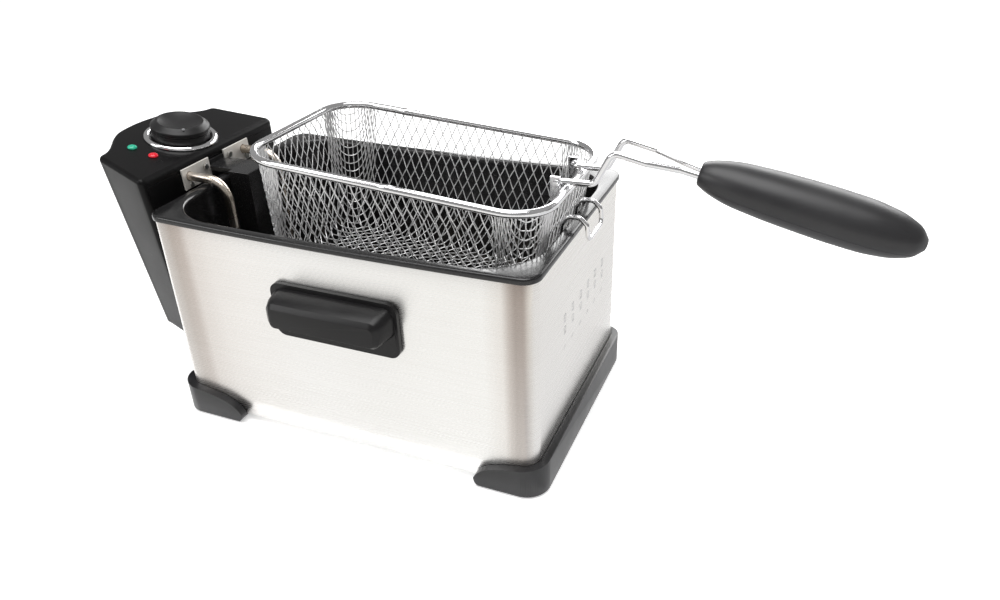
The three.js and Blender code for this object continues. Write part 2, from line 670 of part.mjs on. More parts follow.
// Guard that hangs over the tank's flange and covers the two temperature bulbs.
const GUARD_Y = 14;
const GUARD_Z0 = 58;
const GUARD_TOP = 159.6;
function probeGuard() {
  const x1 = -108.5;
  const back = -145.8;
  const tongue = 10.2;
  const foot = -148.3;
  const half = 7.6;
  const t = 1.5;
  const outer = box(-126, x1, -GUARD_Y, GUARD_Y, GUARD_Z0, GUARD_TOP);
  const inner = box(-127, x1 - t, -GUARD_Y + t, GUARD_Y - t, GUARD_Z0 - 1, GUARD_TOP - t);
  const bridge = box(back, -125, -tongue, tongue, RIM_Z + 0.6, GUARD_TOP);
  const under = box(back - 1, -124, -tongue + t, tongue - t, RIM_Z, GUARD_TOP - t);
  const root = box(foot, back + 0.5, -half, half, GUARD_TOP - t, GUARD_TOP);
  const tab = box(foot, foot + 1.2, -half, half, GUARD_TOP - t, 163.2);
  const way = box(-127, -124, -tongue + t, tongue - t, RIM_Z, GUARD_TOP - t);
  return cut(join(cut(outer, inner), cut(bridge, under), root, tab), way);
}
put('probe_guard', probeGuard(), ENAMEL);

function probe(s) {
  const bulb = rod(V(-118.5, s * BULB_Y, 64), V(-118.5, s * BULB_Y, 148), 3, 10);
  const line = bend([
    V(-160, s * BULB_Y, CAPILLARY_Z), V(-118.5, s * BULB_Y, CAPILLARY_Z), V(-118.5, s * BULB_Y, 147),
  ], 5, 4);
  return join(bulb, wire(line, 0.9, 6));
}
put('thermostat_probe', probe(-1), finish(0xb87a4b, 0.35, 0.9));
put('limiter_probe', probe(1), finish(0xb87a4b, 0.35, 0.9));

// --- basket ---------------------------------------------------------------------

const basketTilt = Math.atan(BASKET_FALL);
const basketFrame = new THREE.Matrix4().makeRotationY(basketTilt).setPosition(0, 0, BASKET_Z);
const inBasket = (shape) => asGeometry(shape).applyMatrix4(basketFrame);

// Rim wire: two half loops whose ends are welded on the straight sides.
function basketRim() {
  const middle = (BASKET_X0 + BASKET_X1) / 2;
  const half = (end, weld) => wire(bend([
    V(weld, BASKET_W, 0), V(end, BASKET_W, 0), V(end, -BASKET_W, 0), V(weld, -BASKET_W, 0),
  ], BASKET_R, 8), WIRE_RIM, 8);
  return inBasket(join(half(BASKET_X0, middle + 0.5), half(BASKET_X1, middle - 0.5)));
}
put('basket_rim', basketRim(), CHROME);

// Mesh body as a thin shell: tapered walls, rounded foot, open at the top.
const MESH_T = 1.6;
function basketMesh() {
  const rings = (inset, sink, top) => {
    const levels = [[0, top], [8.4, 60], [11.6, 78], [15.5, 87.5], [24, BASKET_DEEP]];
    return loft(levels.map(([pull, deep]) => {
      const grow = -1.5 - pull - inset;
      const s = roundRect(
        BASKET_X0 - grow,
        BASKET_X1 + grow,
        -BASKET_W - grow,
        BASKET_W + grow,
        Math.max(BASKET_R + grow + pull * 0.6, 12),
      ).getPoints(6);
      s.pop();
      return s.map((p) => V(p.x, p.y, -deep + sink));
    }));
  };
  const outer = rings(-MESH_T / 2, 0, WIRE_RIM + GAP + 0.1);
  const inner = rings(MESH_T / 2, MESH_T, WIRE_RIM - 1);
  return inBasket(cut(outer, inner));
}
put('basket_mesh', basketMesh(), finish(0xc9cacc, 0.25, 1));

// Hook: one wire bent into two arches that hang over the tank's flange.
function basketHook() {
  const y = 14;
  const near = [
    V(122.8, -y, 138), V(125.9, -y, 156), V(129.5, -y, 161.4), V(137.5, -y, 161.4), V(142.2, -y, 157),
    V(143, -y, 147.2),
  ];
  const far = near.map((p) => V(p.x, -p.y, p.z)).reverse();
  return wire(bend([...near, ...far], 4, 3), WIRE_HOOK, 8);
}
put('basket_hook', basketHook(), CHROME);

// Bracket behind the rim; the handle wire's two ends turn in its ears.
const EAR_Y = 17.4;
function handleBracket() {
  const ear = (s) => box(119.5, 125.6, s * EAR_Y - 0.7, s * EAR_Y + 0.7, 172, 187.6);
  const web = box(124.4, 125.6, -EAR_Y, EAR_Y, 172, 177);
  const bore = rod(V(PIVOT_X, -30, PIVOT_Z), V(PIVOT_X, 30, PIVOT_Z), WIRE_HANDLE + GAP, 12);
  return cut(join(ear(-1), ear(1), web), bore);
}
put('handle_bracket', handleBracket(), CHROME);

// --- basket handle ----------------------------------------------------------------

const GRIP_FROM = V(204, 0, 193.4);
const GRIP_TO = V(327, 0, 167.5);
function handleWire() {
  const side = [
    V(PIVOT_X, -20.5, PIVOT_Z), V(PIVOT_X, -13.6, PIVOT_Z), V(145.5, -13.4, PIVOT_Z + 0.6),
    V(155.6, -12.6, 204.2), V(176, -12.2, 199.8), V(194, -6.2, 196), V(206, -5, 193),
    V(252, -5, 183.4),
  ];
  const other = side.map((p) => V(p.x, -p.y, p.z)).reverse();
  return wire(bend([...side, ...other], 6, 3), WIRE_HANDLE, 8);
}
put('handle_wire', handleWire(), CHROME);

// Grip: a slim, blunt-ended spindle moulded in two halves that clamp the wire.
const GRIP_HALF_WIDTH = [8, 10.2, 14.2, 16.9, 18.1, 18.4, 17.2, 13.6, 9, 3.8];
const GRIP_STATIONS = [0, 0.03, 0.12, 0.28, 0.46, 0.64, 0.8, 0.91, 0.97, 1];
const GRIP_FLAT = 0.8;       // height of the section against its width
const GRIP_SPLIT = -4.6;     // the halves meet this far above the grip's axis
const gripAxis = GRIP_TO.clone().sub(GRIP_FROM);
const gripFrame = new THREE.Matrix4()
  .makeRotationY(Math.atan2(GRIP_FROM.z - GRIP_TO.z, GRIP_TO.x - GRIP_FROM.x))
  .setPosition(GRIP_FROM.x, GRIP_FROM.y, GRIP_FROM.z);

function gripBody() {
  const sides = 20;
  const rings = GRIP_STATIONS.map((t, k) => {
    const ring = [];
    for (let i = 0; i < sides; i += 1) {
      const a = (i / sides) * Math.PI * 2;
      const w = GRIP_HALF_WIDTH[k];
      ring.push(V(t * gripAxis.length(), w * Math.cos(a), w * GRIP_FLAT * Math.sin(a)));
    }
    return ring;
  });
  return loft(rings).applyMatrix4(gripFrame);
}

const inGrip = (shape) => asGeometry(shape).applyMatrix4(gripFrame);
const GRIP_SCREW_X = 74;
function gripHalf(side) {
  const z = GRIP_SPLIT + side * GAP * 0.5;
  const keep = side > 0 ? box(-5, 140, -30, 30, z, 30) : box(-5, 140, -30, 30, -30, z);
  const slots = [
    box(-3, 54, -7.6, -2.4, -3, 3),
    box(-3, 54, 2.4, 7.6, -3, 3),
    box(43, 54, -7.6, 7.6, -3, 3),
  ].map(inGrip);
  const hole = inGrip(rod(V(GRIP_SCREW_X, 0, -8.6), V(GRIP_SCREW_X, 0, 7), SHANK_R + GAP, 8));
  const sink = inGrip(rod(V(GRIP_SCREW_X, 0, -30), V(GRIP_SCREW_X, 0, -8.4), 3 + GAP, 12));
  return cut(common(gripBody(), inGrip(keep)), ...slots, hole, sink);
}
put('grip_upper', gripHalf(1), BLACK);
put('grip_lower', gripHalf(-1), BLACK);
const screwSeat = V(GRIP_SCREW_X, 0, -8.4 - GAP);
put('grip_screw', inGrip(
  screw(screwSeat, V(0, 0, 1), { r: 3, high: 1.6 }, { r: SHANK_R, long: 14.5 }),
), ZINC);

part.position.x = -CENTRE_X;

export default part;
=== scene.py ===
import math

import bmesh
import bpy
import mathutils
import numpy as np
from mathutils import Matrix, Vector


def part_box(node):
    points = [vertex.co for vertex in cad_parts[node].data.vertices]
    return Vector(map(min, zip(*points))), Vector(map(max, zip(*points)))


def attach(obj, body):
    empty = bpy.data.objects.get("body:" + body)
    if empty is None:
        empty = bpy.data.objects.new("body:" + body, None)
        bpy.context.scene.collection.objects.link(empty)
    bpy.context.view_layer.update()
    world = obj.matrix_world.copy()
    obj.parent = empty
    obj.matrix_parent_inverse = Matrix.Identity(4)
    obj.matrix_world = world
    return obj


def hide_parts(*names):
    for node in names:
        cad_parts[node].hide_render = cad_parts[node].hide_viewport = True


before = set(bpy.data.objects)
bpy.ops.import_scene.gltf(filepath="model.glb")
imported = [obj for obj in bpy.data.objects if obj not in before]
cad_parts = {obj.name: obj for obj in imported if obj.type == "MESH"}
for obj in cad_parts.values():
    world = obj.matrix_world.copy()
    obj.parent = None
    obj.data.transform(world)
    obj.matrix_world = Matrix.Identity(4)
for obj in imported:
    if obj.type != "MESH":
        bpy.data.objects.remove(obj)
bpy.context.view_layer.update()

# Sizes below are in millimetres from the middle of the steel housing, on the table.
# `place` turns such points into the frame, where the housing's own box says it is.
MM = 0.001
steel_low, steel_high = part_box("housing_shell")
HOUSING = np.array([(steel_low[0] + steel_high[0]) / 2, (steel_low[1] + steel_high[1]) / 2, 0.0])


def place(points):
    """Points in mm from the housing's middle, as metres in the frame."""
    return np.asarray(points, dtype=float) * MM + HOUSING


# --- Brushed steel housing ------------------------------------------------------------
# A sleeve of 0.8 mm stainless sheet with rounded upright corners, turned in at the foot
# as a ledge. One closed section carried round a rounded rectangle. The brushing runs
# along the sheet and its tone varies in broad, soft clouds. Two upright darker bands near
# the ends are a painted reflection in its base colour, fixed to the steel and fading downwards.

def linked(name, mesh, degrees=40):
    """Puts a mesh in the scene, smooth, with its edges over an angle kept sharp."""
    mesh.polygons.foreach_set("use_smooth", np.ones(len(mesh.polygons), dtype=bool))
    mesh.set_sharp_from_angle(angle=math.radians(degrees))
    piece = bpy.data.objects.new(name, mesh)
    bpy.context.scene.collection.objects.link(piece)
    return piece


def healed(mesh):
    """Merges doubled points and turns every face outwards."""
    work = bmesh.new()
    work.from_mesh(mesh)
    bmesh.ops.remove_doubles(work, verts=work.verts, dist=2e-7)
    bmesh.ops.recalc_face_normals(work, faces=work.faces)
    work.to_mesh(mesh)
    work.free()


def quads_of(rows, cols, closed_rows, closed_cols):
    """Corner numbers of the quads of a (rows, cols) grid."""
    index = np.arange(rows * cols).reshape(rows, cols)
    below = np.roll(index, -1, 0)
    right = np.roll(index, -1, 1)
    across = np.roll(below, -1, 1)
    last_row = rows if closed_rows else rows - 1
    last_col = cols if closed_cols else cols - 1
    return np.stack([index, right, across, below], -1)[:last_row, :last_col].reshape(-1, 4)


def grid_piece(name, grid, closed_rows=False, caps=True, degrees=40):
    """A skin over (rows, cols, 3) rings in metres; caps close the first and last ring by a fan."""
    rows, cols = grid.shape[:2]
    points = grid.reshape(-1, 3)
    faces = quads_of(rows, cols, closed_rows, True).tolist()
    if caps and not closed_rows:
        hubs = rows * cols + np.arange(2)
        points = np.vstack([points, grid[0].mean(0), grid[-1].mean(0)])
        ring = np.arange(cols)
        after = np.roll(ring, -1)
        far = (rows - 1) * cols
        faces += np.stack([np.full(cols, hubs[0]), after, ring], -1).tolist()
        faces += np.stack([np.full(cols, hubs[1]), far + ring, far + after], -1).tolist()
    mesh = bpy.data.meshes.new(name)
    mesh.from_pydata(points.tolist(), [], faces)
    healed(mesh)
    return linked(name, mesh, degrees)


def round_outline(hx, hy, r, arc=14, straight=12):
    """Rounded rectangle: arcs r (cos a, sin a) about each corner's centre, and even straights."""
    turns = np.radians(np.arange(4)[:, None] * 90 + np.linspace(0, 90, arc + 1))
    signs = np.array([(1, 1), (-1, 1), (-1, -1), (1, -1)])
    arcs = signs[:, None] * (hx - r, hy - r) + r * np.stack([np.cos(turns), np.sin(turns)], -1)
    step = np.linspace(0, 1, straight + 1)[1:-1, None]
    run = arcs[:, -1:] + (np.roll(arcs, -1, 0)[:, :1] - arcs[:, -1:]) * step
    return np.concatenate([arcs, run], 1).reshape(-1, 2)


def ringed(outline, z):
    """A flat outline lifted to height z, which may be one number or one for each point."""
    return np.column_stack([outline, np.broadcast_to(z, len(outline))])


def shader_of(name):
    """A new node material, its tree and its Principled shader."""
    material = bpy.data.materials.new(name)
    material.use_nodes = True
    return material, material.node_tree, material.node_tree.nodes["Principled BSDF"]


def object_space(tree, stretch=(1.0, 1.0, 1.0)):
    """Object coordinates, stretched along each axis."""
    where = tree.nodes.new("ShaderNodeTexCoord")
    mapping = tree.nodes.new("ShaderNodeMapping")
    mapping.inputs["Scale"].default_value = stretch
    tree.links.new(where.outputs["Object"], mapping.inputs["Vector"])
    return mapping.outputs["Vector"]


def noise_of(tree, vector, scale, detail=3.0):
    """Noise between 0 and 1 over a vector."""
    node = tree.nodes.new("ShaderNodeTexNoise")
    node.inputs["Scale"].default_value = scale
    node.inputs["Detail"].default_value = detail
    tree.links.new(vector, node.inputs["Vector"])
    return node.outputs["Fac"]


def ramp_of(tree, value, stops):
    """Colours along a value; each stop is (position, (r, g, b))."""
    node = tree.nodes.new("ShaderNodeValToRGB")
    band = node.color_ramp
    while len(band.elements) < len(stops):
        band.elements.new(0.5)
    for element, (position, colour) in zip(band.elements, stops):
        element.position = position
        element.color = (*colour, 1.0)
    tree.links.new(value, node.inputs["Fac"])
    return node.outputs["Color"]


def between(tree, value, low, high, start=0.3, end=0.7):
    """A value's part between start and end, mapped onto low to high."""
    node = tree.nodes.new("ShaderNodeMapRange")
    node.inputs["From Min"].default_value = start
    node.inputs["From Max"].default_value = end
    node.inputs["To Min"].default_value = low
    node.inputs["To Max"].default_value = high
    tree.links.new(value, node.inputs["Value"])
    return node.outputs["Result"]


def bumped(tree, shader, height, strength, distance):
    """A bump from a height value, on the shader's normal."""
    node = tree.nodes.new("ShaderNodeBump")
    node.inputs["Strength"].default_value = strength
    node.inputs["Distance"].default_value = distance
    tree.links.new(height, node.inputs["Height"])
    tree.links.new(node.outputs["Normal"], shader.inputs["Normal"])


def metal_material(name, dark, light, rough, stretch=(40.0, 40.0, 40.0), grain=0.12, clouds=12.0):
    """Metal whose tone and roughness follow stretched streaks, with broad clouds on top."""
    material, tree, shader = shader_of(name)
    streaks = noise_of(tree, object_space(tree, stretch), 1.0, 4.0)
    broad = noise_of(tree, object_space(tree), clouds, 3.0)
    mix = tree.nodes.new("ShaderNodeMix")
    mix.data_type = "RGBA"
    mix.blend_type = "MULTIPLY"
    mix.inputs["Factor"].default_value = 0.6
    tree.links.new(ramp_of(tree, streaks, [(0.3, dark), (0.7, light)]), mix.inputs["A"])
    tree.links.new(ramp_of(tree, broad, [(0.3, (0.9, 0.89, 0.88)), (0.7, (1.0, 1.0, 1.0))]), mix.inputs["B"])
    tree.links.new(mix.outputs["Result"], shader.inputs["Base Color"])
    tree.links.new(between(tree, streaks, rough[0], rough[1]), shader.inputs["Roughness"])
    shader.inputs["Metallic"].default_value = 1.0
    bumped(tree, shader, streaks, grain, 0.00002)
    return material


def dress(piece, material, body, slot, *nodes):
    """Gives a piece its material and body, and hides the CAD nodes it stands for; slot is not used."""
    piece.data.materials.clear()
    piece.data.materials.append(material)
    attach(piece, body)
    if nodes:
        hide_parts(*nodes)
    return piece


steel = metal_material(
    "brushed_steel", (0.91, 0.905, 0.895), (0.97, 0.967, 0.96), (0.25, 0.30), (7.0, 7.0, 2600.0), 0.05, 6.0,
)
steel_tree = steel.node_tree
brushed = steel_tree.nodes["Principled BSDF"]
brushed.inputs["Anisotropic"].default_value = 0.6
brushed.inputs["Anisotropic Rotation"].default_value = 0.25
steel_axes = steel_tree.nodes.new("ShaderNodeSeparateXYZ")
steel_tree.links.new(object_space(steel_tree), steel_axes.inputs["Vector"])
# Painted reflection: a ramp along X darkens the base colour in a band beside each bend, fainter towards the
# foot.
PAINTED_REFLECTION_FOOT = 0.55  # how much of the bands shows at the foot
PAINTED_REFLECTION_HEAD = 0.95  # and below the flange
painted_reflection_tones = [
    (0.000, (0.82, 0.81, 0.80)), (0.026, (0.66, 0.63, 0.61)), (0.060, (0.50, 0.44, 0.40)),
    (0.085, (0.56, 0.49, 0.45)), (0.110, (0.80, 0.75, 0.72)), (0.17, (0.92, 0.89, 0.87)),
    (0.26, (0.98, 0.965, 0.955)), (0.40, (1.0, 1.0, 1.0)), (0.88, (1.0, 1.0, 0.99)),
    (0.925, (0.88, 0.85, 0.82)), (0.942, (0.56, 0.50, 0.46)), (0.956, (0.38, 0.32, 0.285)),
    (0.975, (0.40, 0.335, 0.30)), (0.988, (0.85, 0.81, 0.76)), (0.994, (1.0, 0.98, 0.95)),
]
steel_x = (float(steel_low[0]), float(steel_high[0]))
steel_z = (float(steel_low[2]), float(steel_high[2]))
along_front = between(steel_tree, steel_axes.outputs["X"], 0.0, 1.0, *steel_x)
painted_reflection_mix = steel_tree.nodes.new("ShaderNodeMix")
painted_reflection_mix.data_type = "RGBA"
painted_reflection_mix.blend_type = "MULTIPLY"
painted_reflection_strength = between(steel_tree, steel_axes.outputs["Z"], PAINTED_REFLECTION_FOOT, PAINTED_REFLECTION_HEAD, *steel_z)
steel_tree.links.new(painted_reflection_strength, painted_reflection_mix.inputs["Factor"])
steel_tree.links.new(brushed.inputs["Base Color"].links[0].from_socket, painted_reflection_mix.inputs["A"])
steel_tree.links.new(ramp_of(steel_tree, along_front, painted_reflection_tones), painted_reflection_mix.inputs["B"])
steel_tree.links.new(painted_reflection_mix.outputs["Result"], brushed.inputs["Base Color"])
HALF_L = (steel_high[0] - steel_low[0]) / 2 / MM
HALF_W = (steel_high[1] - steel_low[1]) / 2 / MM
STEEL_Z0 = steel_low[2] / MM
STEEL_Z1 = steel_high[2] / MM
CORNER_R = 10.0
RIM_SAG = 1.8


def sagged(ring, top, reach):
    """Lowers points near `top` along the long sides, most at mid-length: a pressed rim's sag."""
    out = ring.copy()
    near = np.clip((ring[..., 2] - (top - reach)) / reach, 0, 1)
    side = np.clip((np.abs(ring[..., 1]) - (HALF_W - 22)) / 14, 0, 1)
    along = np.clip(1 - (ring[..., 0] / (HALF_L - 8)) ** 2, 0, 1)
    out[..., 2] -= RIM_SAG * near * side * along
    return out


sheet_section = [
    (-0.12, STEEL_Z0), (0.0, STEEL_Z0 + 0.15), (0.0, 20.0), (0.0, 60.0), (0.0, 100.0), (0.0, 135.0),
    (0.0, STEEL_Z1 - 0.3), (-0.15, STEEL_Z1), (-0.65, STEEL_Z1), (-0.8, STEEL_Z1 - 0.3), (-0.8, 135.0),
    (-0.8, STEEL_Z0 + 0.8), (-9.0, STEEL_Z0 + 0.8), (-9.0, STEEL_Z0),
]
sleeve = np.array([
    ringed(round_outline(HALF_L + out, HALF_W + out, CORNER_R + out), z) for out, z in sheet_section
])
housing = grid_piece("steel_housing", place(sagged(sleeve, STEEL_Z1, 18)), closed_rows=True, degrees=50)
dress(housing, steel, "housing", "brushed_steel", "housing_shell")


# --- Printed marks on the right end ---------------------------------------------------
# Six upright columns of small generic marks in faint grey ink, a few strokes each with a
# slanting tick below. The ink is a film of 0.04 mm on the steel.

INK_T = 0.04


def stroke_faces(strokes):
    """Closed thin boxes over slanted strokes (y, z, half width, half height, turn in degrees)."""
    y, z, hy, hz, turn = np.asarray(strokes, float).T
    a = np.radians(turn)[:, None]
    cy = np.array([-1, 1, 1, -1]) * hy[:, None]
    cz = np.array([-1, -1, 1, 1]) * hz[:, None]
    py = y[:, None] + cy * np.cos(a) - cz * np.sin(a)
    pz = z[:, None] + cy * np.sin(a) + cz * np.cos(a)
    near = np.stack([np.full_like(py, HALF_L + 0.01), py, pz], -1)
    points = np.concatenate([near, near + (INK_T, 0, 0)], 1).reshape(-1, 3)
    box = np.array([(3, 2, 1, 0), (4, 5, 6, 7), (0, 1, 5, 4), (1, 2, 6, 5), (2, 3, 7, 6), (3, 0, 4, 7)])
    return points, (np.arange(len(y))[:, None, None] * 8 + box).reshape(-1, 4)


marks = []
for number, column in enumerate((-33.0, -17.5, -1.0, 14.5, 30.5, 47.0)):
    tall = 2.2 + 0.7 * (number % 3)
    marks += [
        (column - 1.6, 101.5, 0.28, tall, 6.0), (column + 1.4, 101.0, 0.28, 2.6, -5.0),
        (column, 103.6, 1.5, 0.26, 8.0), (column - 0.4, 98.6, 2.0, 0.26, -12.0),
        (column - 1.3, 92.6, 0.26, 2.1, 20.0), (column + 1.5, 92.0, 0.26, 2.4, -15.0),
        (column + 0.2, 94.9, 1.2, 0.24, 0.0), (column, 90.0, 1.9 - 0.2 * (number % 2), 0.24, 10.0),
        (column - 0.3, 79.5, 1.9, 0.26, 35.0),
    ]
ink_points, ink_faces = stroke_faces(marks)
ink_mesh = bpy.data.meshes.new("printed_marks")
ink_mesh.from_pydata(place(ink_points).tolist(), [], ink_faces.tolist())
ink, ink_tree, ink_shader = shader_of("grey_ink")
ink_noise = noise_of(ink_tree, object_space(ink_tree), 600.0)
ink_stops = [(0.35, (0.42, 0.42, 0.43)), (0.65, (0.58, 0.58, 0.59))]
ink_tree.links.new(ramp_of(ink_tree, ink_noise, ink_stops), ink_shader.inputs["Base Color"])
ink_shader.inputs["Roughness"].default_value = 0.5
ink_shader.inputs["Metallic"].default_value = 0.4
ink_piece = bpy.data.objects.new("printed_marks", ink_mesh)
bpy.context.scene.collection.objects.link(ink_piece)
dress(ink_piece, ink, "housing", "brushed_steel")


# --- Enamelled tank -------------------------------------------------------------------
# Pressed steel in black enamel: a lip rolled over the housing, a flat flange, a soft
# shoulder, upright walls and a dished floor. Rings run from the middle of the floor up
# the wet side, over the rim and down the dry side. Glossy, with a slight orange peel.

def enamel_material():
    """Near-black gloss, with uneven polish, sparse pale specks and an orange-peel bump."""
    material, tree, shader = shader_of("black_enamel")
    plain = object_space(tree)
    speck = noise_of(tree, plain, 1500.0, 1.0)
    polish = noise_of(tree, plain, 45.0, 4.0)
    peel = noise_of(tree, plain, 330.0, 2.0)
    stops = [(0.66, (0.011, 0.0108, 0.0112)), (0.76, (0.06, 0.058, 0.058))]
    tree.links.new(ramp_of(tree, speck, stops), shader.inputs["Base Color"])
    tree.links.new(between(tree, polish, 0.10, 0.24), shader.inputs["Roughness"])
    bumped(tree, shader, peel, 0.22, 0.0001)
    return material


enamel = enamel_material()
RIM_Z = 155.0
TANK_L = 128.0
TANK_W = 81.0
TANK_R = 36.0


def mouth_ring(grow, z, towards_edge=0.0):
    """A ring of the tank's opening, moved part of the way towards the housing's outline."""
    inner = round_outline(TANK_L + grow, TANK_W + grow, TANK_R + grow)
    outer = round_outline(HALF_L, HALF_W, CORNER_R)
    return ringed(inner + (outer - inner) * towards_edge, RIM_Z + z)


def lip_ring(grow, z):
    """A ring that follows the housing's outline, `grow` outside it."""
    return ringed(round_outline(HALF_L + grow, HALF_W + grow, CORNER_R + grow), RIM_Z + z)


wet = [
    mouth_ring(-33.0, -133.0), mouth_ring(-16.0, -133.0), mouth_ring(-9.5, -132.5), mouth_ring(-5.0, -130.8),
    mouth_ring(-2.0, -128.0), mouth_ring(-0.5, -124.5), mouth_ring(0.0, -120.0), mouth_ring(0.0, -80.0),
    mouth_ring(0.0, -40.0), mouth_ring(0.0, -4.0), mouth_ring(0.12, -2.2), mouth_ring(0.5, -1.0),
    mouth_ring(1.1, -0.3), mouth_ring(1.9, 0.0), mouth_ring(1.9, 0.0, 0.5),
]
lip = [
    lip_ring(-0.6, 0.0), lip_ring(0.4, -0.1), lip_ring(1.05, -0.5), lip_ring(1.4, -1.1), lip_ring(1.5, -1.8),
    lip_ring(1.5, -3.5), lip_ring(1.25, -3.9), lip_ring(0.8, -4.0), lip_ring(0.5, -3.8), lip_ring(0.4, -3.3),
    lip_ring(0.4, -2.0),
]
dry = [
    mouth_ring(1.3, -2.0), mouth_ring(1.0, -4.0), mouth_ring(1.0, -60.0), mouth_ring(1.0, -122.0),
    mouth_ring(-2.0, -130.0), mouth_ring(-9.0, -133.7), mouth_ring(-33.0, -134.0),
]
tank = grid_piece("enamel_tank", place(sagged(np.array(wet + lip + dry), RIM_Z, 18)), degrees=60)
dress(tank, enamel, "tank", "enamel", "tank")


# --- Base mouldings, side handles and their fixings ----------------------------------
# Injection-moulded plastic: a dark grey end under each end of the steel, with its two
# feet, and a black carrying handle on each long side. Each is the machined shape with
# its edges rounded over; rubber pads and plated screws are underneath.

def plastic_material(name, dark, light, rough, grain=1400.0, depth=0.00004, gloss=0.5):
    """Moulded plastic: tone and polish vary slowly, and a fine spark-eroded grain as bump."""
    material, tree, shader = shader_of(name)
    plain = object_space(tree)
    slow = noise_of(tree, plain, 35.0, 4.0)
    fine = noise_of(tree, plain, grain, 2.0)
    tree.links.new(ramp_of(tree, slow, [(0.3, dark), (0.7, light)]), shader.inputs["Base Color"])
    tree.links.new(between(tree, slow, rough[0], rough[1]), shader.inputs["Roughness"])
    shader.inputs["Specular IOR Level"].default_value = gloss
    bumped(tree, shader, fine, 0.35, depth)
    return material


def rounded_copy(node, name, material, body, slot, radius=0.5, segments=3, degrees=30):
    """A merged copy of a CAD node's mesh with its edges bevelled, standing for the node."""
    mesh = bpy.data.objects[node].data.copy()
    mesh.name = name
    healed(mesh)
    piece = linked(name, mesh, degrees)
    if radius:
        bevel = piece.modifiers.new("edges", "BEVEL")
        bevel.width = radius * MM
        bevel.segments = segments
        bevel.limit_method = "ANGLE"
        bevel.angle_limit = math.radians(degrees)
        bevel.harden_normals = True
    return dress(piece, material, body, slot, node)


base_grey = plastic_material(
    "base_grey", (0.016, 0.016, 0.017), (0.024, 0.024, 0.026), (0.30, 0.38), gloss=0.45,
)
black = plastic_material(
    "satin_black", (0.0065, 0.0062, 0.0066), (0.0095, 0.009, 0.0095), (0.28, 0.36), gloss=0.3,
)
rubber = plastic_material(
    "foot_rubber", (0.006, 0.006, 0.006), (0.012, 0.012, 0.012), (0.75, 0.9), 700.0, 0.0001,
)
zinc = metal_material("zinc_plate", (0.52, 0.52, 0.50), (0.70, 0.70, 0.68), (0.28, 0.42), (90.0, 90.0, 90.0))

for end in ("right", "left"):
    rounded_copy(f"base_end_{end}", f"base_moulding_{end}", base_grey, "housing", "grey_plastic", 0.7)
for side in ("front", "rear"):
    rounded_copy(f"handle_{side}", f"side_handle_{side}", black, "housing", "black_plastic", 0.9, 4, 25)
for node in ("base_plate", "head_rail", "rail_screw_1", "rail_screw_2"):
    rounded_copy(node, f"{node}_plated", zinc, "housing", "zinc_steel", 0.15, 2)
for corner in ("front_right", "front_left", "rear_right", "rear_left"):
    rounded_copy(f"foot_pad_{corner}", f"rubber_pad_{corner}", rubber, "housing", "rubber", 0.3, 2)
    rounded_copy(f"base_screw_{corner}", f"base_fixing_{corner}", zinc, "housing", "zinc_steel", 0.25, 2)
for side in ("front", "rear"):
    for number in (1, 2):
        node = f"handle_screw_{side}_{number}"
        rounded_copy(node, f"handle_fixing_{side}_{number}", zinc, "housing", "zinc_steel", 0.2, 2)


# --- Control head ---------------------------------------------------------------------
# Two black mouldings: a shell with a straight front, a rounded bulge behind the knob and
# a panel that slopes down towards the tank, and a flat cover that closes its front. The
# shell is skinned over its plan at several levels and then hollowed and drilled.

HEAD_TILT = 0.185
HEAD_FRONT = -149.0
HEAD_FRONT_LOW = -142.0
HEAD_TOP = 170.0
HEAD_LOW = 45.0
HEAD_WALL = 2.4
KNOB_X = -176.7


def panel_z(x):
    """Height of the sloping panel over x."""
    return HEAD_TOP + HEAD_TILT * (HEAD_FRONT - x)


def curve_points(controls, count):
    """Points of a Bezier curve through 2, 3 or 4 control points, without its last point."""
    t = np.linspace(0, 1, count + 1)[:-1, None]
    points = [np.asarray(c, dtype=float) for c in controls]
    while len(points) > 1:
        points = [a + (b - a) * t for a, b in zip(points, points[1:])]
    return points[0]


def head_plan(level):
    """Outline of the head: level 0 is the underside and level 1 the panel."""
    front = HEAD_FRONT_LOW + (HEAD_FRONT - HEAD_FRONT_LOW) * level
    wide = 66 + 6 * level
    narrow = 55 + 6 * level
    rear = -179 - 17 * level
    back = -190 - 27.5 * level
    half = np.vstack([
        curve_points([(front, 0), (front, 5 - wide)], 10),
        curve_points([(front, 5 - wide), (front, -wide), (front - 5, 0.5 - wide)], 10),
        curve_points([(front - 5, 0.5 - wide), (rear + 5, -narrow - 0.8)], 10),
        curve_points([(rear + 5, -narrow - 0.8), (rear - 1, -narrow), (rear - 1.5, 5 - narrow)], 10),
        curve_points([
            (rear - 1.5, 5 - narrow), (rear - 3, 20 - narrow), (back + 2, 28 - narrow), (back + 1, -14),
        ], 26),
        curve_points([(back + 1, -14), (back, -6), (back, 0)], 6),
    ])
    other = half[1:][::-1] * (1, -1)
    return np.vstack([half, [(back, 0)], other])


def pulled_in(outline, inset):
    """An outline moved inwards along its normals."""
    along = np.roll(outline, -1, 0) - np.roll(outline, 1, 0)
    normal = np.column_stack([along[:, 1], -along[:, 0]])
    normal /= np.linalg.norm(normal, axis=1)[:, None]
    x, y = outline.T
    area = np.sum(x * np.roll(y, -1) - y * np.roll(x, -1))
    return outline - normal * inset * np.sign(area)


def head_rings(inset, edge_low, edge_high):
    """Rings of the head from underside to panel; both edges are quarter rounds."""
    quarter = np.radians(np.linspace(0, 90, 7))
    rings = []
    for a in quarter:
        plan = pulled_in(head_plan(0), inset + edge_low * (1 - np.sin(a)))
        rings.append(ringed(plan, HEAD_LOW + inset + edge_low * (1 - np.cos(a))))
    for a in quarter:
        plan = pulled_in(head_plan(1), inset + edge_high * (1 - np.cos(a)))
        rings.append(ringed(plan, panel_z(plan[:, 0]) - inset - edge_high * (1 - np.sin(a))))
    return np.array(rings)


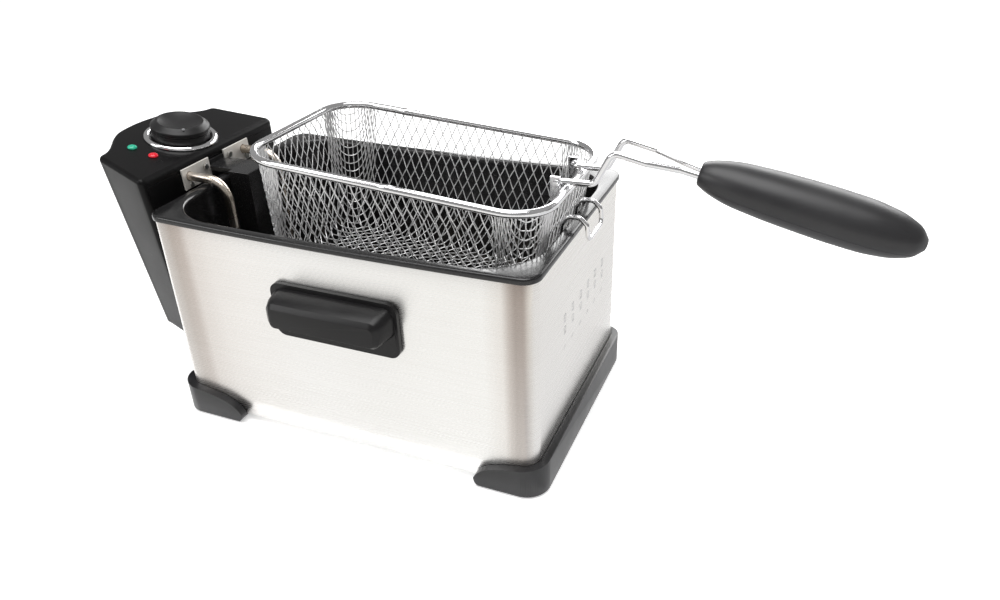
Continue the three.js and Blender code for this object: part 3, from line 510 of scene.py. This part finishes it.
def tube_rings(start, end, radius, sides=32):
    """Two rings that make a round bar between two points."""
    start, end = np.asarray(start, float), np.asarray(end, float)
    along = (end - start) / np.linalg.norm(end - start)
    across = np.cross(along, (0.0, 1.0, 0.0) if abs(along[1]) < 0.9 else (1.0, 0.0, 0.0))
    across /= np.linalg.norm(across)
    other = np.cross(along, across)
    a = np.linspace(0, 2 * np.pi, sides, endpoint=False)[:, None]
    ring = radius * (np.cos(a) * across + np.sin(a) * other)
    return np.array([start + ring, end + ring])


def on_panel(points, at_x=KNOB_X, at_y=0.0):
    """Points with Z along the panel's normal, turned and moved onto the panel."""
    turn = math.atan(HEAD_TILT)
    x, y, z = np.moveaxis(np.asarray(points, float), -1, 0)
    across = x * math.cos(turn) + z * math.sin(turn)
    up = z * math.cos(turn) - x * math.sin(turn)
    return np.stack([at_x + across, at_y + y, panel_z(at_x) + up], -1)


def cornered(x0, x1, y0, y1, z0, z1):
    """Two square rings that make a box."""
    ring = np.array([(x0, y0), (x1, y0), (x1, y1), (x0, y1)], dtype=float)
    return np.array([ringed(ring, z0), ringed(ring, z1)])


def carved(piece, cutters):
    """Cuts closed ring skins out of a piece, one after the other, and keeps the result."""
    tools = []
    for rings in cutters:
        tool = grid_piece("tool", place(rings))
        cut = piece.modifiers.new("cut", "BOOLEAN")
        cut.operation = "DIFFERENCE"
        cut.solver = "MANIFOLD"
        cut.object = tool
        tools.append(tool)
    seen = piece.evaluated_get(bpy.context.evaluated_depsgraph_get())
    mesh = bpy.data.meshes.new_from_object(seen)
    name = piece.name
    for spent in (piece, *tools):
        bpy.data.objects.remove(spent)
    mesh.name = name
    healed(mesh)
    carved_piece = linked(name, mesh, 32)
    even = carved_piece.modifiers.new("even_shading", "WEIGHTED_NORMAL")
    even.keep_sharp = True
    return carved_piece


LAMPS = (("green", -188.5, -36.0), ("red", -169.5, -37.0))
RIB_Y = 24.0
mouth = np.array([
    ringed(pulled_in(head_plan(0), HEAD_WALL) + (8, 0), HEAD_LOW + HEAD_WALL),
    ringed(pulled_in(head_plan(1), HEAD_WALL) + (8, 0), HEAD_TOP - 3.4 - HEAD_WALL),
])
cutters = [on_panel(tube_rings((0, 0, -6.3), (0, 0, 9.1), 2.8), x, y) for _, x, y in LAMPS]
cutters += [
    on_panel(tube_rings((0, 0, -8.2), (0, 0, 12), 4.4)),
    head_rings(HEAD_WALL, 1.0, 1.2),
    mouth,
    tube_rings((-230, 0, 92), (-185, 0, 92), 3.9),
    tube_rings((-230, 26, 64), (-160, 26, 64), 5.8),
]
cutters += [cornered(-152, -130, y - 1.8, y + 1.8, HEAD_LOW - 5, 135) for y in (-RIB_Y, RIB_Y)]
head_black = plastic_material(
    "head_black", (0.0032, 0.003, 0.0033), (0.0048, 0.0045, 0.0048), (0.27, 0.34), gloss=0.14,
)
head = carved(grid_piece("head_shell_moulded", place(head_rings(0, 2.5, 3.4))), cutters)
dress(head, head_black, "control_head", "black_plastic", "head_shell")
rounded_copy("head_cover", "head_front_cover", head_black, "control_head", "black_plastic", 0.3, 2)


# --- Dial: chrome ring, knob and lamps -----------------------------------------------
# Turned shapes about the panel's normal: a pressed chrome ring, a black knob with a
# finger groove, a rounded shoulder and a dished top with a moulded pointer pip, and two
# domed lamp lenses. The knob turns with its spindle.

def turned(name, profile, at_x=KNOB_X, at_y=0.0, sides=96, closed=False):
    """A profile of (radius, height) turned about the panel's normal."""
    radius, height = np.asarray(profile, float).T
    a = np.linspace(0, 2 * np.pi, sides, endpoint=False)
    grid = np.stack(np.broadcast_arrays(
        radius[:, None] * np.cos(a), radius[:, None] * np.sin(a), height[:, None],
    ), -1)
    return grid_piece(name, place(on_panel(grid, at_x, at_y)), closed_rows=closed, degrees=32)


def arc_profile(centre, radius, start, end, count=8):
    """Points (radius, height) on an arc, angles in degrees from outwards."""
    a = np.radians(np.linspace(start, end, count + 1))
    return [(centre[0] + radius * math.cos(t), centre[1] + radius * math.sin(t)) for t in a]


chrome = metal_material("chrome_plate", (0.80, 0.80, 0.81), (0.90, 0.90, 0.91), (0.05, 0.12), grain=0.02)
ring_profile = [(21.6, 0.3), (26.0, 0.3), (26.0, 0.8), (25.8, 1.35), (25.3, 2.0), (24.6, 2.4), (23.8, 2.55),
                (23.0, 2.4), (22.3, 2.0), (21.8, 1.35), (21.6, 0.8)]
dress(turned("dial_chrome_ring", ring_profile, closed=True), chrome, "control_head", "chrome", "dial_ring")

KNOB_R = 20.6
knob_profile = [(0.5, 0.9), (KNOB_R - 0.4, 0.9), (KNOB_R, 1.3), (KNOB_R, 5.9), (KNOB_R - 0.15, 6.25),
                (KNOB_R - 0.7, 6.5), (KNOB_R - 0.7, 7.2), (KNOB_R - 0.15, 7.45), (KNOB_R, 7.8)]
knob_profile += arc_profile((KNOB_R - 1.0, 9.4), 1.0, 0, 50, 4)
knob_profile += [(17.6, 12.3), (16.9, 12.9), (16.2, 13.2), (15.5, 13.1), (14.8, 12.75),
                 (12.0, 11.75), (8.0, 10.8), (4.0, 10.3), (0.5, 10.2)]
knob_black = plastic_material(
    "knob_black", (0.0075, 0.0073, 0.0078), (0.012, 0.0115, 0.012), (0.34, 0.42), gloss=0.35,
)
knob = turned("knob_turned", knob_profile)
knob = carved(knob, [on_panel(tube_rings((0, 0, -1), (0, 0, 8.3), 3.3))])
dress(knob, knob_black, "knob", "black_plastic", "knob")
pointer = math.radians(-42)
pip_x, pip_y = 17.3 * math.cos(pointer), 17.3 * math.sin(pointer)
pip_r = np.array([0.95, 0.95, 0.85, 0.6, 0.25])[:, None]
pip_z = np.array([12.6, 13.45, 13.65, 13.78, 13.82])[:, None]
around = np.linspace(0, 2 * np.pi, 20, endpoint=False)
pip_across = pip_x + pip_r * np.cos(around)
pip_along = pip_y + pip_r * np.sin(around)
pip = np.stack(np.broadcast_arrays(pip_across, pip_along, pip_z), -1)
pip_grey = plastic_material("pointer_grey", (0.22, 0.22, 0.23), (0.32, 0.32, 0.33), (0.3, 0.4))
dress(grid_piece("knob_pointer", place(on_panel(pip))), pip_grey, "knob", "black_plastic")
rounded_copy("thermostat_spindle", "spindle_plated", zinc, "knob", "zinc_steel", 0.2, 2)


def lens_material(name, colour, glow):
    """Tinted moulded lens, a little lit from inside, with a faintly rippled surface."""
    material, tree, shader = shader_of(name)
    plain = object_space(tree)
    ripple = noise_of(tree, plain, 900.0, 2.0)
    dark = tuple(0.6 * c for c in colour)
    tree.links.new(ramp_of(tree, ripple, [(0.3, dark), (0.7, colour)]), shader.inputs["Base Color"])
    shader.inputs["Roughness"].default_value = 0.12
    shader.inputs["Emission Color"].default_value = (*colour, 1.0)
    shader.inputs["Emission Strength"].default_value = glow
    bumped(tree, shader, ripple, 0.2, 0.00005)
    return material


lens_profile = [(0.3, -5.0), (2.5, -5.0), (2.5, 0.3), (3.3, 0.3), (3.25, 0.75), (3.0, 1.15), (2.4, 1.55),
                (1.6, 1.78), (0.8, 1.88), (0.3, 1.9)]
LENS = {"green": (0.02, 0.42, 0.26), "red": (0.75, 0.012, 0.03)}
for colour, x, y in LAMPS:
    lens = turned(f"lens_{colour}", lens_profile, x, y, 40)
    lit = lens_material(f"{colour}_lens", LENS[colour], 0.25)
    dress(lens, lit, "control_head", f"{colour}_lens", f"lamp_{colour}")


# --- Parts inside and behind the head ------------------------------------------------
# Plated thermostat and limiter bodies, a black switch, a cream terminal block, the red
# reset button and the rubber gland of the mains cord, each with its edges rounded.

cream = plastic_material("cream_block", (0.62, 0.58, 0.48), (0.74, 0.70, 0.60), (0.5, 0.65))
reset_red = plastic_material("reset_red", (0.42, 0.02, 0.018), (0.55, 0.03, 0.026), (0.3, 0.42))
for node, material, slot in (
    ("thermostat", zinc, "zinc_steel"),
    ("safety_limiter", zinc, "zinc_steel"),
    ("microswitch", black, "black_plastic"),
    ("terminal_block", cream, "cream_plastic"),
    ("cord_gland", rubber, "rubber"),
):
    rounded_copy(node, f"{node}_finished", material, "control_head", slot, 0.3, 2)
rounded_copy("reset_button", "reset_button_moulded", reset_red, "reset_button", "red_plastic", 0.6, 3)


# --- Heating element and its plates ---------------------------------------------------
# A stainless-sheathed tube, straw and brown where it has been hot: in over the flange,
# down two legs and round two loops near the floor. Two plates and four screws hold it
# to the head's cover; two copper bulbs hang beside it behind an enamelled guard.

def filleted(corners, radius, count=10):
    """A line through corners, each rounded by an arc that touches both of its sides."""
    corners = np.asarray(corners, dtype=float)
    line = [corners[:1]]
    for before, here, after in zip(corners, corners[1:], corners[2:]):
        a, b = before - here, after - here
        la, lb = np.linalg.norm(a), np.linalg.norm(b)
        a, b = a / la, b / lb
        half = math.acos(np.clip(a @ b, -1, 1)) / 2
        back = min(radius / math.tan(half), 0.48 * la, 0.48 * lb)
        r = back * math.tan(half)
        middle = here + (a + b) / np.linalg.norm(a + b) * r / math.sin(half)
        start, end = here + a * back - middle, here + b * back - middle
        sweep = math.pi - 2 * half
        t = np.linspace(0, 1, count + 1)[:, None]
        line.append(middle + (start * np.sin(sweep * (1 - t)) + end * np.sin(sweep * t)) / math.sin(sweep))
    line.append(corners[-1:])
    return np.vstack(line)


def densified(line, step):
    """Points of a line at an even step, with its own corners kept."""
    out = [line[:1]]
    for a, b in zip(line, line[1:]):
        count = max(1, int(np.linalg.norm(b - a) / step))
        out.append(a + (b - a) * np.linspace(0, 1, count + 1)[1:, None])
    return np.vstack(out)


def swept_rings(line, radius, sides=20, loop=False):
    """Circles square to a line; each frame is the last one carried on without twist."""
    line = np.asarray(line, dtype=float)
    if loop:
        ahead = np.roll(line, -1, 0) - np.roll(line, 1, 0)
    else:
        ahead = np.gradient(line, axis=0)
    ahead /= np.linalg.norm(ahead, axis=1)[:, None]
    across = np.cross(ahead[0], (0.31, 0.17, 0.94))
    frames = []
    for way in ahead:
        across = across - way * (across @ way)
        across /= np.linalg.norm(across)
        frames.append(across)
    across = np.array(frames)
    other = np.cross(ahead, across)
    a = np.linspace(0, 2 * np.pi, sides, endpoint=False)[None, :, None]
    thick = np.broadcast_to(radius, len(line))[:, None, None]
    return line[:, None] + thick * (np.cos(a) * across[:, None] + np.sin(a) * other[:, None])


TUBE_R = 3.25
half_run = np.array([(-160, 30, 159), (-115.5, 30, 159), (-115.5, 30, 34), (-86, 30, 34),
                     (-74, 53, 34), (98, 53, 34), (98, 18, 34), (-62, 18, 34)], dtype=float)
run = np.vstack([half_run, (half_run * (1, -1, 1))[::-1]])
tube_steel = metal_material(
    "heated_steel", (0.50, 0.42, 0.33), (0.86, 0.80, 0.73), (0.20, 0.34), (34.0, 34.0, 34.0), 0.1, 30.0,
)
tube = grid_piece("element_tube", place(swept_rings(densified(filleted(run, 15), 4), TUBE_R, 24)))
dress(tube, tube_steel, "control_head", "element_steel", "heating_element")
plate_steel = metal_material(
    "plate_steel", (0.74, 0.71, 0.66), (0.92, 0.90, 0.87), (0.50, 0.62), (60.0, 60.0, 8.0),
)
plate_steel.node_tree.nodes["Principled BSDF"].inputs["Metallic"].default_value = 0.55
for side in ("front", "rear"):
    node = f"element_plate_{side}"
    plate_name = f"element_plate_{side}_pressed"
    rounded_copy(node, plate_name, plate_steel, "control_head", "element_steel", 0.25, 2)
    for number in (1, 2):
        node = f"plate_screw_{side}_{number}"
        rounded_copy(node, f"plate_fixing_{side}_{number}", zinc, "control_head", "zinc_steel", 0.35, 3)
rounded_copy("probe_guard", "probe_guard_enamelled", enamel, "control_head", "enamel", 0.7, 3)
copper = metal_material(
    "copper_bulb", (0.62, 0.30, 0.15), (0.85, 0.47, 0.28), (0.25, 0.4), (70.0, 70.0, 20.0),
)
for node in ("thermostat_probe", "limiter_probe"):
    rounded_copy(node, f"{node}_bulb", copper, "control_head", "copper", 0)


# --- Basket: rim, hook and bracket ----------------------------------------------------
# Chromed wire. The 5 mm rim is a rounded loop that falls a little towards the handle,
# butt-welded at two places; the 3 mm hook is one wire bent into two arches over the
# tank's flange; the bracket behind the rim holds the handle's pivots.

BASKET_X0 = -73.4
BASKET_X1 = 130.0
BASKET_W = 63.0
BASKET_Z = 188.2
BASKET_FALL = 0.072


def in_basket(points):
    """Points of the level basket, tipped with the rim and lifted to its height."""
    turn = math.atan(BASKET_FALL)
    x, y, z = np.moveaxis(np.asarray(points, float), -1, 0)
    across = x * math.cos(turn) + z * math.sin(turn)
    return np.stack([across, y, BASKET_Z + z * math.cos(turn) - x * math.sin(turn)], -1)


BASKET_MID = (BASKET_X0 + BASKET_X1) / 2
rim_plan = round_outline((BASKET_X1 - BASKET_X0) / 2, BASKET_W, 27, 20, 60) + (BASKET_MID, 0)
welds = ((-20.0, BASKET_W), (34.0, -BASKET_W))
away = np.array([np.linalg.norm(rim_plan - weld, axis=1) for weld in welds]).min(0)
rim_radius = 2.5 + 0.3 * np.exp(-(away / 2.2) ** 2)
rim_line = ringed(rim_plan, 0.0)
rim = grid_piece("rim_wire", place(in_basket(swept_rings(rim_line, rim_radius, 20, True))), closed_rows=True)
dress(rim, chrome, "basket", "chrome", "basket_rim")

near_arch = np.array([(122.8, -14, 138), (125.9, -14, 156), (129.5, -14, 161.4), (137.5, -14, 161.4),
                      (142.2, -14, 157), (143, -14, 147.2)], dtype=float)
arches = np.vstack([near_arch, (near_arch * (1, -1, 1))[::-1]])
hook = grid_piece("hook_wire", place(swept_rings(densified(filleted(arches, 4, 8), 3), 1.5, 16)))
dress(hook, chrome, "basket", "chrome", "basket_hook")
rounded_copy("handle_bracket", "bracket_pressed", chrome, "basket", "chrome", 0.3, 2)


# --- Basket: woven mesh ---------------------------------------------------------------
# A flat sheet of plain-woven 0.8 mm wire, set at 45 degrees and drawn into a basket: the
# floor keeps its square weave, the walls stretch it into tall diamonds and the corners
# shear it. Each sheet point outside the floor's outline goes up the wall by a distance
# that grows with its distance from the outline; the wires pass over and under.

CELL = 5.05
WIRE_R = 0.36
FLOOR_HX = 80.7
FLOOR_HY = 42.0
FLOOR_R = 8.0
FOOT_R = 12.0
WALL_TAPER = 0.0963
DEPTH = 92.0
lean = math.atan(WALL_TAPER)
turn_length = FOOT_R * (math.pi / 2 - lean)
foot_up = FOOT_R * (1 - math.sin(lean))
WALL_LENGTH = (DEPTH - foot_up) / math.cos(lean)


def wall_point(arc):
    """(outward, up) of a point that lies `arc` along the foot's curve and then the wall."""
    bend = np.clip(arc / FOOT_R, 0, turn_length / FOOT_R)
    rest = np.maximum(arc - turn_length, 0)
    out = FOOT_R * np.sin(bend) + rest * math.sin(lean)
    up = FOOT_R * (1 - np.cos(bend)) + rest * math.cos(lean)
    return out, up


def drawn(u, v):
    """Sheet coordinates (along the two wires) to the basket, and the arc up the wall."""
    x, y = (u - v) / math.sqrt(2), (u + v) / math.sqrt(2)
    sx, sy = np.where(x < 0, -1, 1), np.where(y < 0, -1, 1)
    px, py = np.abs(x) - (FLOOR_HX - FLOOR_R), np.abs(y) - (FLOOR_HY - FLOOR_R)
    cx, cy = np.maximum(px, 0), np.maximum(py, 0)
    reach = np.hypot(cx, cy)
    flat = np.where((cx > 0) | (cy > 0), reach, np.maximum(px, py)) - FLOOR_R
    angle = np.arctan2(cy, np.maximum(cx, 1e-9))
    stretch = 0.46 + 0.36 * np.sin(2 * angle) ** 2
    arcs = np.linspace(0, 130, 521)
    eased = FOOT_R * (1 - np.exp(-arcs / FOOT_R))
    out_flat = np.maximum(flat, 0)
    arc = out_flat / stretch
    for _ in range(12):
        gap = stretch * arc + (1 - stretch) * np.interp(arc, arcs, eased) - out_flat
        arc = np.maximum(arc - gap / (stretch + (1 - stretch) * np.exp(-arc / FOOT_R)), 0)
    out, up = wall_point(arc)
    ring = FLOOR_R + out
    even = np.clip(1.35 * ring / (FLOOR_R + out_flat), 0.25, 1)
    wanted = 4 * angle / np.pi - 1
    turn = wanted.copy()
    for _ in range(10):
        turn -= (even * turn + (1 - even) * turn ** 3 - wanted) / (even + 3 * (1 - even) * turn ** 2)
    angle = np.where((cx > 0) & (cy > 0), np.pi / 4 * (1 + turn), angle)
    outside = flat > 0
    wx = np.where(outside, FLOOR_HX - FLOOR_R + np.where(cx > 0, ring * np.cos(angle), px), np.abs(x))
    wy = np.where(outside, FLOOR_HY - FLOOR_R + np.where(cy > 0, ring * np.sin(angle), py), np.abs(y))
    return np.stack([BASKET_MID + sx * wx, sy * wy, up - DEPTH], -1), arc


def woven(name, family):
    """All wires of one direction: tubes along u (family 0) or v (family 1), over and under."""
    numbers = np.arange(-33, 34)
    along = np.arange(-180, 180, 0.85)
    still, go = np.meshgrid(numbers * CELL, along, indexing="ij")
    u, v = (go, still) if family == 0 else (still, go)
    point, arc = drawn(u, v)
    tiny = 0.05
    du = drawn(u + tiny, v)[0] - drawn(u - tiny, v)[0]
    dv = drawn(u, v + tiny)[0] - drawn(u, v - tiny)[0]
    normal = np.cross(du, dv)
    normal /= np.linalg.norm(normal, axis=-1)[..., None]
    over = WIRE_R * np.cos(np.pi * go / CELL + np.pi * numbers[:, None] + np.pi * family)
    line = point + normal * over[..., None]
    ahead = np.gradient(line, axis=1)
    ahead /= np.linalg.norm(ahead, axis=-1)[..., None]
    side = np.cross(ahead, normal)
    side /= np.linalg.norm(side, axis=-1)[..., None]
    up = np.cross(side, ahead)
    a = np.linspace(0, 2 * np.pi, 6, endpoint=False)[None, None, :, None]
    rings = line[:, :, None] + WIRE_R * (np.cos(a) * up[:, :, None] + np.sin(a) * side[:, :, None])
    there = arc <= WALL_LENGTH + turn_length
    index = np.arange(there.size * 6).reshape(*there.shape, 6)
    both = there[:, :-1] & there[:, 1:]
    first, second = index[:, :-1][both], index[:, 1:][both]
    quads = np.stack([first, np.roll(first, -1, 1), np.roll(second, -1, 1), second], -1).reshape(-1, 4)
    starts = index[:, 1:][there[:, 1:] & ~there[:, :-1] & np.roll(there, -2, 1)[:, :-1]]
    ends = index[:, :-1][there[:, :-1] & ~there[:, 1:] & np.roll(there, 1, 1)[:, :-1]]
    used = np.zeros(there.size * 6, dtype=bool)
    used[quads] = True
    new = np.cumsum(used) - 1
    mesh = bpy.data.meshes.new(name)
    caps = [ring.tolist() for ring in new[starts[:, ::-1]]] + [ring.tolist() for ring in new[ends]]
    points = place(in_basket(rings.reshape(-1, 3)[used]))
    mesh.from_pydata(points.tolist(), [], new[quads].tolist() + caps)
    work = bmesh.new()
    work.from_mesh(mesh)
    bmesh.ops.recalc_face_normals(work, faces=work.faces)
    work.to_mesh(mesh)
    work.free()
    return linked(name, mesh, 75)


mesh_wire = metal_material(
    "plated_mesh_wire", (0.82, 0.82, 0.83), (0.95, 0.95, 0.95), (0.2, 0.3), grain=0.02,
)
mesh_wire.node_tree.nodes["Principled BSDF"].inputs["Metallic"].default_value = 0.6
dress(woven("mesh_wires_one_way", 0), mesh_wire, "basket", "mesh_wire", "basket_mesh")
dress(woven("mesh_wires_other_way", 1), mesh_wire, "basket", "mesh_wire", "basket_mesh")


# --- Basket handle --------------------------------------------------------------------
# One chromed 4 mm wire, bent up from its pivots over the rim and into a black grip of
# two moulded halves held by a screw from below. The grip is a blunt-ended spindle; each
# half is skinned over half-oval sections along it.

half_wire = np.array([
    (123.5, -20.5, 183.4), (123.5, -13.6, 183.4), (145.5, -13.4, 184.0), (155.6, -12.6, 204.2),
    (176, -12.2, 199.8), (194, -6.2, 196), (206, -5, 193), (252, -5, 183.4),
], dtype=float)
wire_path = np.vstack([half_wire, (half_wire * (1, -1, 1))[::-1]])
handle = grid_piece("handle_wire_bent", place(swept_rings(densified(filleted(wire_path, 6, 8), 3), 2.0, 20)))
dress(handle, chrome, "basket_handle", "chrome", "handle_wire")

GRIP_FROM = np.array([204.0, 0.0, 193.4])
GRIP_TO = np.array([327.0, 0.0, 167.5])
GRIP_LONG = np.linalg.norm(GRIP_TO - GRIP_FROM)
GRIP_SPLIT = -4.6
GRIP_FLAT = 0.8
grip_t = np.array([0, 0.03, 0.12, 0.28, 0.46, 0.64, 0.8, 0.91, 0.97, 1])
grip_w = np.array([8.0, 10.2, 14.2, 16.9, 18.1, 18.4, 17.2, 13.6, 9.0, 3.8])
grip_pitch = math.atan2(GRIP_FROM[2] - GRIP_TO[2], GRIP_TO[0] - GRIP_FROM[0])


def in_grip(points):
    """Points with X along the grip, put where the grip is."""
    x, y, z = np.moveaxis(np.asarray(points, float), -1, 0)
    across = x * math.cos(grip_pitch) + z * math.sin(grip_pitch)
    up = z * math.cos(grip_pitch) - x * math.sin(grip_pitch)
    return np.stack([GRIP_FROM[0] + across, y, GRIP_FROM[2] + up], -1)


def eased(t, at, values):
    """Values at t on a smooth curve through (at, values), with slopes from their neighbours."""
    slope = np.gradient(values, at)
    k = np.clip(np.searchsorted(at, t, side="right") - 1, 0, len(at) - 2)
    span = at[k + 1] - at[k]
    s = (t - at[k]) / span
    ends = values[k] * (1 + 2 * s) * (1 - s) ** 2 + values[k + 1] * s * s * (3 - 2 * s)
    return ends + span * s * (1 - s) * (slope[k] * (1 - s) - slope[k + 1] * s)


def grip_half(name, side):
    """One half: the oval section above or below the split, skinned along the grip's axis."""
    round_end = 1 - np.cos(np.linspace(0, np.pi / 2, 9))
    t = np.concatenate([0.012 * round_end, np.linspace(0.02, 0.9, 44), 1 - 0.1 * round_end[::-1][1:]])
    width = eased(t, grip_t, grip_w)
    width[:9] *= 0.84 + 0.16 * np.sin(np.linspace(0, np.pi / 2, 9))
    width[-1] *= 0.6
    split = GRIP_SPLIT + 0.08 * side
    if side < 0:
        keep = GRIP_FLAT * width > 0.3 - split
        t, width = t[keep], width[keep]
    start = np.arcsin(np.clip(side * split / (GRIP_FLAT * width), -1, 1))[:, None]
    a = start + (np.pi - 2 * start) * np.linspace(0, 1, 41)
    y = width[:, None] * np.cos(a)
    z = side * GRIP_FLAT * width[:, None] * np.sin(a)
    across = np.linspace(-0.9, 0.9, 7) * y[:, :1]
    y = np.hstack([y, across])
    z = np.hstack([z, np.repeat(z[:, :1], 7, 1)])
    x = np.broadcast_to((t * GRIP_LONG)[:, None], y.shape)
    return grid_piece(name, place(in_grip(np.stack([x, y, z], -1))), degrees=50)


grip_black = plastic_material(
    "grip_black", (0.016, 0.0155, 0.017), (0.022, 0.0215, 0.023), (0.36, 0.44), 900.0, 0.00005,
)
dress(grip_half("grip_top_half", 1), grip_black, "basket_handle", "grip_plastic", "grip_upper")
dress(grip_half("grip_bottom_half", -1), grip_black, "basket_handle", "grip_plastic", "grip_lower")
rounded_copy("grip_screw", "grip_fixing", zinc, "basket_handle", "zinc_steel", 0.2, 2)


# --- Table, light and camera ----------------------------------------------------------
# A pale table, a soft white surround, three large soft lights and two plain bright cards
# that only glossy surfaces show. The camera looks from the front right, above.

def flat_sheet(name, centre, along, across, colour, strength=0.0):
    """A flat card between centre +- along +- across, matt, or glowing evenly."""
    centre, along, across = (np.asarray(v, dtype=float) for v in (centre, along, across))
    near, far = centre - across, centre + across
    corners = [near - along, near + along, far + along, far - along]
    mesh = bpy.data.meshes.new(name)
    mesh.from_pydata([c.tolist() for c in corners], [], [(0, 1, 2, 3)])
    material, tree, shader = shader_of(name)
    shader.inputs["Base Color"].default_value = (*colour, 1.0)
    shader.inputs["Roughness"].default_value = 0.9
    shader.inputs["Emission Color"].default_value = (*colour, 1.0)
    shader.inputs["Emission Strength"].default_value = strength
    mesh.materials.append(material)
    sheet = bpy.data.objects.new(name, mesh)
    bpy.context.scene.collection.objects.link(sheet)
    return sheet


def card(name, centre, along, across, colour, strength):
    """A plain, evenly glowing sheet that only glossy surfaces show."""
    sheet = flat_sheet(name, centre, along, across, colour, strength)
    shader = sheet.data.materials[0].node_tree.nodes["Principled BSDF"]
    shader.inputs["Base Color"].default_value = (0.0, 0.0, 0.0, 1.0)
    shader.inputs["Specular IOR Level"].default_value = 0.0
    sheet.visible_camera = False
    sheet.visible_diffuse = False
    sheet.visible_shadow = False
    return sheet


floor = flat_sheet("table", (0, 0, 0), (30, 0, 0), (0, 30, 0), (0.93, 0.93, 0.93), 0.45)

world = bpy.data.worlds.new("surround")
world.use_nodes = True
world.node_tree.nodes["Background"].inputs["Color"].default_value = (1.0, 0.995, 0.99, 1.0)
world.node_tree.nodes["Background"].inputs["Strength"].default_value = 0.32
bpy.context.scene.world = world


def soft_light(name, place_at, aim, size, power, colour=(1.0, 1.0, 1.0)):
    """A rectangular area light pointed at a spot."""
    lamp = bpy.data.lights.new(name, "AREA")
    lamp.shape = "RECTANGLE"
    lamp.size, lamp.size_y = size
    lamp.energy = power
    lamp.color = colour
    light = bpy.data.objects.new(name, lamp)
    away = np.asarray(place_at, float) - np.asarray(aim, float)
    light.rotation_mode = "QUATERNION"
    light.rotation_quaternion = mathutils.Vector(away.tolist()).to_track_quat("Z", "Y")
    light.location = place_at
    bpy.context.scene.collection.objects.link(light)
    return light


soft_light("overhead", (-0.1, -0.2, 2.0), (0, 0, 0), (1.8, 1.5), 38)
soft_light("front_left", (-1.6, -1.4, 1.3), (0, 0, 0.1), (1.0, 1.2), 12)
soft_light("back", (0.05, 1.9, 0.92), (0.1, 0, 0.18), (2.0, 0.8), 27)

# Two plain cards of one even brightness each lie low before the long side and beside the
# right end, and the upright steel mirrors them.
card("bounce_before", (-0.1, -1.1, 0.0006), (1.6, 0, 0), (0, 1.0, 0), (0.95, 0.94, 0.92), 1.05)
card("bounce_beside", (1.05, 0.45, 0.0008), (0.963, 0, 0), (0, 0.64, 0), (0.80, 0.80, 0.805), 1.03)

camera = bpy.data.cameras.new("camera")
camera.sensor_fit = "HORIZONTAL"
camera.sensor_width = 36
camera.lens = 832.47 * 36 / 1000
camera.clip_start = 0.01
eye = bpy.data.objects.new("camera", camera)
yaw, pitch, roll = np.radians([23.60, 29.88, -1.91])
back = np.array([math.sin(yaw) * math.cos(pitch), -math.cos(yaw) * math.cos(pitch), math.sin(pitch)])
level = np.cross(-back, (0, 0, 1))
level /= np.linalg.norm(level)
upright = np.cross(level, -back)
right = level * math.cos(roll) + upright * math.sin(roll)
above = upright * math.cos(roll) - level * math.sin(roll)
pose = np.eye(4)
pose[:3, 0], pose[:3, 1], pose[:3, 2] = right, above, back
pose[:3, 3] = place((275.94, -456.07, 370.74))
eye.matrix_world = mathutils.Matrix(pose.tolist())
bpy.context.scene.collection.objects.link(eye)
bpy.context.scene.camera = eye
bpy.context.scene.view_settings.view_transform = "Standard"
